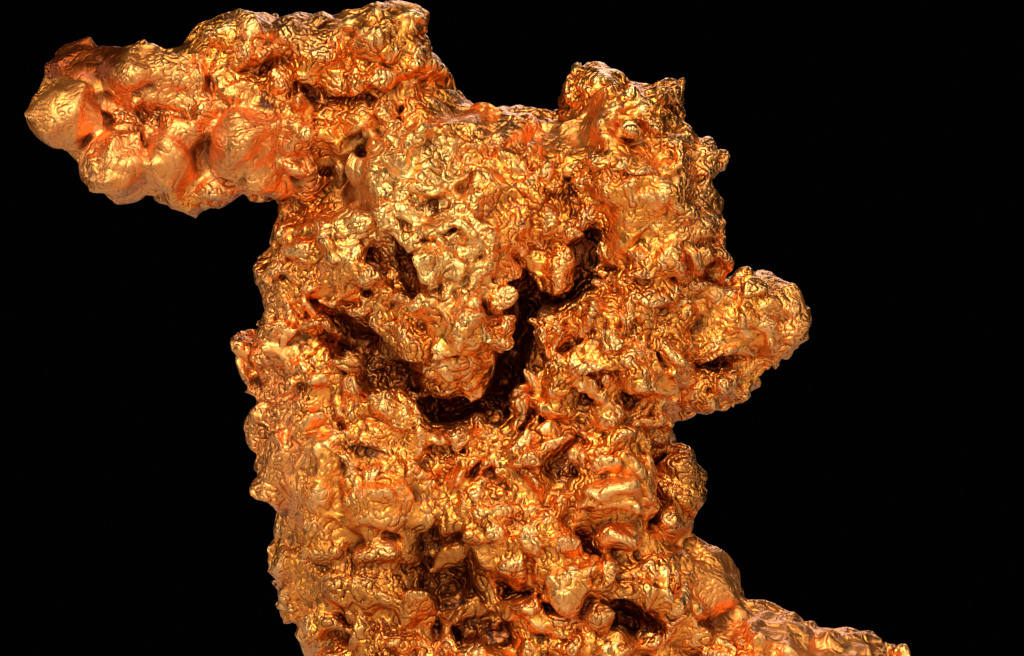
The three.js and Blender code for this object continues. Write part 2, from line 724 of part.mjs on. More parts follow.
/** Says whether the picked corners of a cell hang together along its edges. */
function joined(picked) {
  const chosen = CORNERS.map((_, corner) => corner).filter((corner) => picked(corner));
  if (chosen.length < 2) {
    return true;
  }
  const seen = new Set([chosen[0]]);
  for (let pass = 0; pass < CORNERS.length; pass += 1) {
    for (const [a, b] of CELL_EDGES) {
      if (picked(a) && picked(b) && (seen.has(a) || seen.has(b))) {
        seen.add(a).add(b);
      }
    }
  }
  return seen.size === chosen.length;
}

/** Fills single samples until every cell carries one clean sheet of skin. */
function settleCells(field) {
  const clean = Array.from({ length: 2 ** CORNERS.length }, (_, code) =>
    joined((corner) => (code >> corner) & 1) && joined((corner) => !((code >> corner) & 1)));
  const [nx, ny, nz] = field.size;
  let changed = true;
  while (changed) {
    changed = false;
    for (let i = 0; i < nx - 1; i += 1) {
      for (let j = 0; j < ny - 1; j += 1) {
        for (let k = 1; k < nz - 1; k += 1) {
          const cell = CORNERS.map(([a, b, c]) => field.index(i + a, j + b, k + c));
          const bits = cell.map((at, bit) => (field.values[at] < 0 ? 1 << bit : 0));
          const code = bits.reduce((sum, bit) => sum + bit, 0);
          if (!clean[code]) {
            const outside = cell.filter((at) => field.values[at] >= 0);
            outside.sort((a, b) => field.values[a] - field.values[b]);
            field.values[outside[0]] = FILLED;
            changed = true;
          }
        }
      }
    }
  }
}

/** Moves every sample that lies almost on the skin clearly to its own side. */
function clearSamples(field) {
  field.values = field.values.map((value) =>
    (value < 0 ? Math.min(value, FILLED) : Math.max(value, -FILLED)));
}

/** The mean of the places where the skin crosses the edges of one cell, or null. */
function crossingMean(field, i, j, k) {
  const held = CORNERS.map(([a, b, c]) => field.values[field.index(i + a, j + b, k + c)]);
  const total = [0, 0, 0];
  let crossings = 0;
  for (const [a, b] of CELL_EDGES) {
    if ((held[a] < 0) !== (held[b] < 0)) {
      const part = held[a] / (held[a] - held[b]);
      total.forEach((_, axis) => {
        const [from, to] = [CORNERS[a][axis], CORNERS[b][axis]];
        total[axis] += from + part * (to - from);
      });
      crossings += 1;
    }
  }
  return crossings > 0 ? total.map((value) => value / crossings) : null;
}

// For each axis: the direction of an edge, and the four cells around it in turn
const EDGE_RINGS = [
  { ahead: [1, 0, 0], cells: [[0, -1, -1], [0, 0, -1], [0, 0, 0], [0, -1, 0]] },
  { ahead: [0, 1, 0], cells: [[-1, 0, -1], [-1, 0, 0], [0, 0, 0], [0, 0, -1]] },
  { ahead: [0, 0, 1], cells: [[-1, -1, 0], [0, -1, 0], [0, 0, 0], [-1, 0, 0]] },
];

/** One vertex per crossed cell and one square per crossed edge, as triangles. */
function skin(field) {
  const [nx, ny, nz] = field.size;
  const vertexOf = new Int32Array(field.values.length).fill(-1);
  const vertices = [];
  const faces = [];
  for (let i = 0; i < nx - 1; i += 1) {
    for (let j = 0; j < ny - 1; j += 1) {
      for (let k = 0; k < nz - 1; k += 1) {
        const mean = crossingMean(field, i, j, k);
        if (mean) {
          const [x, y, z] = field.position(i + mean[0], j + mean[1], k + mean[2]);
          vertexOf[field.index(i, j, k)] = vertices.length;
          vertices.push([x, y, k === 0 ? 0 : z]);
        }
      }
    }
  }
  for (let i = 1; i < nx - 1; i += 1) {
    for (let j = 1; j < ny - 1; j += 1) {
      for (let k = 0; k < nz - 1; k += 1) {
        const inside = field.values[field.index(i, j, k)] < 0;
        for (const { ahead, cells } of EDGE_RINGS) {
          const next = field.index(i + ahead[0], j + ahead[1], k + ahead[2]);
          if (inside !== field.values[next] < 0) {
            const [a, b, c, d] = cells.map(([u, v, w]) =>
              vertexOf[field.index(i + u, j + v, k + w)]);
            faces.push(...(inside ? [[a, b, c], [a, c, d]] : [[c, b, a], [d, c, a]]));
          }
        }
      }
    }
  }
  return { vertices, faces };
}

/** Keeps only the largest connected sheet, which is the outside of the nugget. */
function largestSheet({ vertices, faces }) {
  const parent = vertices.map((_, index) => index);
  const root = (index) => {
    let place = index;
    while (parent[place] !== place) {
      parent[place] = parent[parent[place]];
      place = parent[place];
    }
    return place;
  };
  faces.forEach(([a, b, c]) => {
    parent[root(b)] = root(a);
    parent[root(c)] = root(a);
  });
  const counts = new Map();
  faces.forEach(([a]) => counts.set(root(a), (counts.get(root(a)) ?? 0) + 1));
  const largest = [...counts].sort((a, b) => b[1] - a[1])[0][0];
  return { vertices, faces: faces.filter(([a]) => root(a) === largest) };
}

const subtract = (a, b) => [a[0] - b[0], a[1] - b[1], a[2] - b[2]];
const cross = (a, b) => [
  a[1] * b[2] - a[2] * b[1],
  a[2] * b[0] - a[0] * b[2],
  a[0] * b[1] - a[1] * b[0],
];
const dot = (a, b) => a[0] * b[0] + a[1] * b[1] + a[2] * b[2];

/** A queue that always hands back the cheapest entry first. */
class CheapestFirst {
  constructor() {
    this.entries = [];
  }

  push(entry) {
    const { entries } = this;
    let at = entries.push(entry) - 1;
    while (at > 0 && entries[(at - 1) >> 1].cost > entry.cost) {
      entries[at] = entries[(at - 1) >> 1];
      at = (at - 1) >> 1;
    }
    entries[at] = entry;
  }

  pop() {
    const { entries } = this;
    const cheapest = entries[0];
    const moved = entries.pop();
    if (entries.length > 0) {
      let at = 0;
      while (2 * at + 1 < entries.length) {
        let child = 2 * at + 1;
        if (child + 1 < entries.length && entries[child + 1].cost < entries[child].cost) {
          child += 1;
        }
        if (entries[child].cost >= moved.cost) {
          break;
        }
        entries[at] = entries[child];
        at = child;
      }
      entries[at] = moved;
    }
    return cheapest;
  }
}

/** Thins a closed skin by folding away the edges that matter least. */
class Thinner {
  constructor({ vertices, faces }) {
    this.vertices = vertices.map((vertex) => [...vertex]);
    this.faces = faces.map((face) => [...face]);
    this.around = vertices.map(() => new Set());
    this.age = new Int32Array(vertices.length);
    this.errors = vertices.map(() => new Float64Array(10));
    this.queue = new CheapestFirst();
    this.faces.forEach((face, index) => {
      face.forEach((vertex) => this.around[vertex].add(index));
      this.addPlane(face);
    });
  }

  normal(a, b, c) {
    return cross(subtract(b, a), subtract(c, a));
  }

  addPlane(face) {
    const [a, b, c] = face.map((vertex) => this.vertices[vertex]);
    const wide = this.normal(a, b, c);
    const area = Math.hypot(...wide) || 1;
    const [x, y, z] = wide.map((value) => value / area);
    const w = -dot([x, y, z], a);
    const weight = area * (y < 0 ? FACE_CARE : 1);
    const terms = [x * x, x * y, x * z, x * w, y * y, y * z, y * w, z * z, z * w, w * w];
    face.forEach((vertex) => terms.forEach((term, index) => {
      this.errors[vertex][index] += term * weight;
    }));
  }

  cost(q, [x, y, z]) {
    return q[0] * x * x + 2 * q[1] * x * y + 2 * q[2] * x * z + 2 * q[3] * x + q[4] * y * y
      + 2 * q[5] * y * z + 2 * q[6] * y + q[7] * z * z + 2 * q[8] * z + q[9];
  }

  /** The places an edge may fold to: the resting plane always stays flat. */
  targets(a, b, q) {
    const first = this.vertices[a];
    const second = this.vertices[b];
    if ((first[2] === 0) !== (second[2] === 0)) {
      return [first[2] === 0 ? first : second];
    }
    const middle = first.map((value, axis) => (value + second[axis]) / 2);
    const matrix = new THREE.Matrix3().set(q[0], q[1], q[2], q[1], q[4], q[5], q[2], q[5], q[7]);
    const steady = Math.abs(matrix.determinant()) > STEADY_SHARE * (q[0] + q[4] + q[7]) ** 3;
    if (!steady || first[2] === 0) {
      return [first, second, middle];
    }
    const best = new THREE.Vector3(-q[3], -q[6], -q[8]).applyMatrix3(matrix.invert());
    const reach = Math.hypot(...subtract(first, second));
    const apart = Math.hypot(...subtract(best.toArray(), middle));
    const usable = apart < reach && best.z > GROUND_CLEARANCE;
    return usable ? [best.toArray()] : [first, second, middle];
  }

  propose(a, b) {
    const joint = this.errors[a].map((value, index) => value + this.errors[b][index]);
    const options = this.targets(a, b, joint).map((target) => {
      const cost = this.cost(joint, target);
      return { target, cost };
    });
    options.sort((one, other) => one.cost - other.cost);
    this.queue.push({ ...options[0], a, b, stamps: [this.age[a], this.age[b]] });
  }

  neighbours(vertex) {
    const found = new Set();
    this.around[vertex].forEach((face) => this.faces[face].forEach((other) => found.add(other)));
    found.delete(vertex);
    return found;
  }

  /** True when the faces around a vertex keep their side and some area. */
  keepsShape(vertex, gone, target) {
    for (const index of this.around[vertex]) {
      const face = this.faces[index];
      if (face.includes(gone)) {
        continue;
      }
      const places = face.map((corner) => this.vertices[corner]);
      const moved = places.map((place, at) => (face[at] === vertex ? target : place));
      const before = this.normal(...places);
      const after = this.normal(...moved);
      const agreement = LEAST_AGREEMENT * Math.hypot(...before) * Math.hypot(...after);
      if (Math.hypot(...after) < LEAST_DOUBLE_AREA || dot(before, after) < agreement) {
        return false;
      }
    }
    return true;
  }

  fold({ a, b, target }) {
    const shared = [...this.neighbours(a)].filter((vertex) => this.neighbours(b).has(vertex));
    if (shared.length !== 2 || !this.keepsShape(a, b, target) || !this.keepsShape(b, a, target)) {
      return 0;
    }
    const gone = [...this.around[b]].filter((face) => this.around[a].has(face));
    gone.forEach((face) => {
      this.faces[face].forEach((vertex) => this.around[vertex].delete(face));
      this.faces[face] = null;
    });
    this.around[b].forEach((face) => {
      this.faces[face] = this.faces[face].map((vertex) => (vertex === b ? a : vertex));
      this.around[a].add(face);
    });
    this.around[b].clear();
    this.vertices[a] = target;
    this.errors[a].forEach((value, index) => {
      this.errors[a][index] = value + this.errors[b][index];
    });
    this.age[a] += 1;
    this.age[b] = -1;
    this.neighbours(a).forEach((vertex) => this.propose(a, vertex));
    return gone.length;
  }

  thin(limit) {
    this.faces.forEach(([a, b, c]) => {
      [[a, b], [b, c], [c, a]].forEach(([from, to]) => from < to && this.propose(from, to));
    });
    let left = this.faces.length;
    while (left > limit && this.queue.entries.length > 0) {
      const best = this.queue.pop();
      if (best.stamps[0] === this.age[best.a] && best.stamps[1] === this.age[best.b]) {
        left -= this.fold(best);
      }
    }
    return { vertices: this.vertices, faces: this.faces.filter((face) => face !== null) };
  }
}

/** Builds an indexed geometry from the vertices that are still in use. */
function toGeometry({ vertices, faces }) {
  const numbering = new Map();
  const points = [];
  const indices = faces.flat().map((vertex) => {
    if (!numbering.has(vertex)) {
      numbering.set(vertex, numbering.size);
      points.push(...vertices[vertex]);
    }
    return numbering.get(vertex);
  });
  const geometry = new THREE.BufferGeometry();
  geometry.setAttribute('position', new THREE.Float32BufferAttribute(points, 3));
  geometry.setIndex(indices);
  geometry.translate(ORIGIN_SHIFT.x, ORIGIN_SHIFT.y, ORIGIN_SHIFT.z);
  return geometry;
}

const field = nuggetField();
openAround(field);
settleCells(field);
clearSamples(field);
const thinned = new Thinner(largestSheet(skin(field))).thin(FACE_LIMIT);

const nugget = new THREE.Mesh(
  toGeometry(thinned),
  new THREE.MeshStandardMaterial({
    color: GOLD_COLOUR,
    roughness: GOLD_ROUGHNESS,
    metalness: GOLD_METALNESS,
  }),
);
nugget.name = 'nugget';

const part = new THREE.Group();
part.add(nugget);

export default part;
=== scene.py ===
"""A large natural gold nugget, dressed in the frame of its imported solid.

The broad shape is the one the solid has: masses melted together, knobs on the
outline, hollows and lobes on the face and packed lobes on the rest.  On top of
it come winding folds, beads, strewn lumps and pits, then a metal with fine relief
of its own.  The shape tables are in millimetres; Blender objects are in metres.
"""

import logging
import math
from collections.abc import Callable
from dataclasses import dataclass, field
from enum import Enum

import bpy
import numpy as np
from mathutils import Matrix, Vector


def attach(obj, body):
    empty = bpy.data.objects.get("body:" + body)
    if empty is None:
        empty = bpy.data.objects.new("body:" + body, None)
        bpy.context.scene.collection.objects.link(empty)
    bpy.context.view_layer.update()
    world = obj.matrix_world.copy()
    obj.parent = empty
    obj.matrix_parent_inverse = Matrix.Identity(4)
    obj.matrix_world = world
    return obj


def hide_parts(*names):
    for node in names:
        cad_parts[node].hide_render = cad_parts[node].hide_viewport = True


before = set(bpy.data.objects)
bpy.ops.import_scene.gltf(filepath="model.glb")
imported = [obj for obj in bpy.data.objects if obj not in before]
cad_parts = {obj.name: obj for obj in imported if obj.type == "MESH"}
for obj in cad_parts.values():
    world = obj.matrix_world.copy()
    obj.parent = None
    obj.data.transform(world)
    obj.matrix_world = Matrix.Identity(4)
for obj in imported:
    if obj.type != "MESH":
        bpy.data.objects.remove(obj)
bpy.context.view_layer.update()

LOG = logging.getLogger("gold_nugget")

Row = tuple[float, ...]
Colour = tuple[float, float, float, float]
Range = tuple[float, float]

METRES_PER_MM = 0.001
# Moves the origin of the shape tables to the origin of the frame
ORIGIN_SHIFT = (2.8, 2.7, 0.0)
# Corners and spacing of the samples that the solid was made from
FIELD_LOW = (-140.4, -56.4, -1.2)
FIELD_HIGH = (135.6, 56.4, 230.0)
COARSE_STEP = 2.4
# Longer than any distance inside the field
FAR = 1000.0
# Keeps divisions away from zero
TINY = 1e-6
# Below this height the skin is pushed about less and less, down to the resting face
GROUND_FADE = 8.0

# Masses: middle x, y, z, half width, half depth, half height, lean in degrees
MASSES: list[Row] = [
    # trunk
    (-4, 2, 161, 41, 31, 30, -6),
    (-5, 4, 122, 50, 31, 38, 0),
    (-44, 4, 129, 22, 24, 37, -7),
    (-49, 4, 153, 11, 18, 13, 0),
    (-34, 3, 95, 31, 29, 30, 0),
    (-31, 3, 58, 29.5, 29, 25, 0),
    (2, 3, 70, 44, 32, 40, 0),
    (27, 1, 50, 30, 32, 34, 0),
    (-5, 0, 22, 48, 35, 30, 0),
    (31, 1, 102, 17, 25, 20, 0),
    # chest that hangs over the cave
    (-23, -15, 166, 13, 20, 20, -12),
    (-12, -19, 148, 17, 22, 19, -10),
    (-9, -20, 130, 12.5, 21, 14, -4),
    (-40, -9, 148, 13, 17, 13, -20),
    # swellings beside and below the cave
    (34, -13, 122, 17, 19, 19, 0),
    (-38, -8, 82, 21, 21, 19, 0),
    (32, -14, 83, 12, 18, 11, 0),
    (10, -12, 92, 12, 17, 7, -15),
    (21, -13, 60, 20, 19, 9.5, -40),
    # right shoulder and its peaks
    (39, -8, 168, 18.5, 23, 24.5, 8),
    (29.5, 3, 186, 9.5, 12, 12, 20),
    (46, 1, 188.5, 6, 10, 8.5, 0),
    (45, -8, 152, 16, 22, 17, 0),
    (12, 6, 164, 26, 20, 16, 0),
    # right arm
    (68, 0, 129, 18, 17, 12, 0),
    (80, 0, 131, 5.5, 10, 9, 0),
    (61, -1, 113, 11, 12, 8.5, 22),
    (47, 0, 124, 16, 24, 21, 0),
    # crown knob and the saddle beside it
    (-32, 1, 206, 12.5, 16, 15, 0),
    (-27, 2, 193, 13, 18, 13, -12),
    (-14, 6, 171, 15, 20, 15, -8),
    (-42, 2, 186, 11, 17, 15, 0),
    # left arm
    (-71, 2, 203, 14, 16, 13, 0),
    (-54, 3, 204, 15, 17, 12, 0),
    (-63, -2, 181, 17, 17, 16, 0),
    (-78, -1, 173, 9, 12, 9, 0),
    (-96, 1, 197, 16, 14, 10.5, 0),
    (-120, -3, 187, 10, 11, 9, 0),
    (-117, 2, 201, 9, 9, 5.5, 0),
    (-104, -4, 175, 10, 12, 10.5, 0),
    (-91, -3, 174.5, 9.5, 11, 10, 0),
    (-88, -1, 187, 24, 13, 9, 3),
    # foot
    (42, 2, 46, 19, 27, 24, 0),
    (71, 2, 28, 29, 26, 22, -16),
    (56, 2, 54, 12, 20, 14, -35),
    (47, 4, 84, 7, 11, 11, 0),
    (97, 2, 22, 24, 22, 19, -14),
    (112, 2, 13, 12, 18, 17, 0),
    (72, 2, 10, 34, 24, 16, 0),
    # swellings on the back
    (-22, 22, 136, 22, 17, 24, 20),
    (17, 20, 108, 20, 18, 25, -15),
    (-26, 22, 70, 20, 18, 20, 0),
    (20, 19, 52, 24, 19, 18, 10),
    (24, 12, 160, 18, 17, 20, 0),
    (-62, 10, 194, 16, 13, 12, 10),
    (82, 12, 20, 18, 15, 14, -15),
]

# Knobs on the outline, in the same order
KNOBS: list[Row] = [
    # upright knob on the right side above the foot
    (52.5, -8, 89, 4.2, 6.5, 4, 0),
    (53.5, -7, 83.5, 3.2, 6, 4.5, 0),
    (53, -8, 79, 5, 7, 4, 0),
    (56.8, -6, 78, 2.3, 4, 2.3, 0),
    (50, -8, 73.5, 5, 8, 4.5, 0),
    # bumps along the left edge
    (-62, 6, 152, 2.4, 5, 3, 0),
    (-63.5, 5, 143, 3, 7, 3, 0),
    (-70, 4, 121, 3.4, 6.5, 3.2, 0),
    (-70.5, 2, 115.5, 3, 6.5, 3.2, 0),
    (-63.5, 2, 101, 5, 8, 6, 0),
    (-62, 0, 89, 5, 8, 6, 0),
    (-58.5, 2, 61.5, 5.2, 8, 5.5, 0),
    (-56, 2, 51.5, 5, 8, 6, 0),
    # bumps along the right edge
    (61.5, -2, 149, 3.8, 7, 6.5, 0),
    (59.5, -3, 161, 4.2, 7, 5, 0),
    (57, -2, 173.5, 4.5, 7, 5, 0),
    (53.6, -2, 181.5, 2.6, 6, 3.6, 0),
    (71.5, 2, 140, 3.8, 6, 3.2, 0),
    (81.5, 1, 135.5, 4.6, 7, 5.5, 0),
    (31, 0, 193.5, 5, 8, 4.6, 0),
    (41.5, -1, 193, 3.6, 7, 3.8, 0),
    (48.5, 0, 192.5, 3.8, 7, 4, 0),
    (-83, 2, 205, 4, 8, 5, 30),
    (-107, 2, 202, 6, 8, 4, 0),
    # bumps along the top and under the left arm
    (-50, 3, 212.5, 4, 8, 3.5, 0),
    (-24.3, -4, 214, 4.2, 6, 4.4, 0),
    (-19.5, 2, 201, 4, 8, 4, 0),
    (-3, 2, 187, 5, 8, 3.6, 0),
    (9, 3, 182, 6, 8, 4, 0),
    (-88, -1, 168.5, 5, 7, 5, 0),
    (-77, -2, 167, 6, 8, 4.4, 0),
    (-51, 0, 169, 6, 9, 6, 0),
]

# Hollows in the face: x, z, half width, half height, depth, lean in degrees
HOLLOWS: list[Row] = [
    # deep cleft down the middle and the cave at its foot
    (8.5, 129, 5.4, 14, 19, -4),
    (3.5, 113, 6.4, 11, 18, -20),
    (12, 139, 8, 4.5, 12, 0),
    (-12, 105, 13, 4.6, 14, 0),
    # slot and valley to the left of the cleft
    (-24, 145, 3.2, 11, 11, 8),
    (-37, 123, 17, 7, 9, -38),
    (-27, 114, 10, 6, 11, -18),
    (-33, 147, 2.2, 3, 4, 10),
    # valley under the right shoulder
    (24, 147, 6.5, 12, 3.5, -34),
    (20, 138.5, 8, 2.4, 8, 8),
    (49, 138.5, 8, 1.8, 6, -10),
    (56, 128, 2.6, 2, 3.5, 0),
    (41, 180, 7, 5.2, 3.5, -10),
    (66, 118, 12, 1.8, 5, -3),
    (39, 108, 3.2, 2.8, 4, 0),
    (25, 109, 3, 2, 3.5, -20),
    # left arm
    (-97, 187.5, 15, 2.2, 2.6, 4),
    (-77, 171, 7.5, 7, 4, -25),
    (-116, 203, 6, 2.2, 3, -5),
    (-57, 172, 4, 2, 3, -30),
    # creases under the crown
    (-42, 192, 13, 1.6, 3, -8),
    (-64, 201, 9, 1.8, 2.2, 0),
    (-28, 194.5, 8, 1.8, 3, 5),
    (-18, 161.5, 4, 1.6, 2.5, -15),
    # lower left
    (-45, 101, 5, 3.4, 3, 0),
    (-35, 65, 13, 1.8, 3.5, 12),
    (-14, 56, 11, 20, 7.5, 24),
    (0, 43, 6, 5, 4, 0),
    # lower right
    (19, 90, 5, 3, 3.5, 0),
    (27, 67, 6, 2.2, 6, -48),
    (46.5, 86, 2.6, 5.5, 9, 0),
    (39, 47, 10, 5.5, 9, -12),
    (11, 50, 17, 3.4, 7, -42),
    (64, 45.5, 4, 2, 3, -20),
]

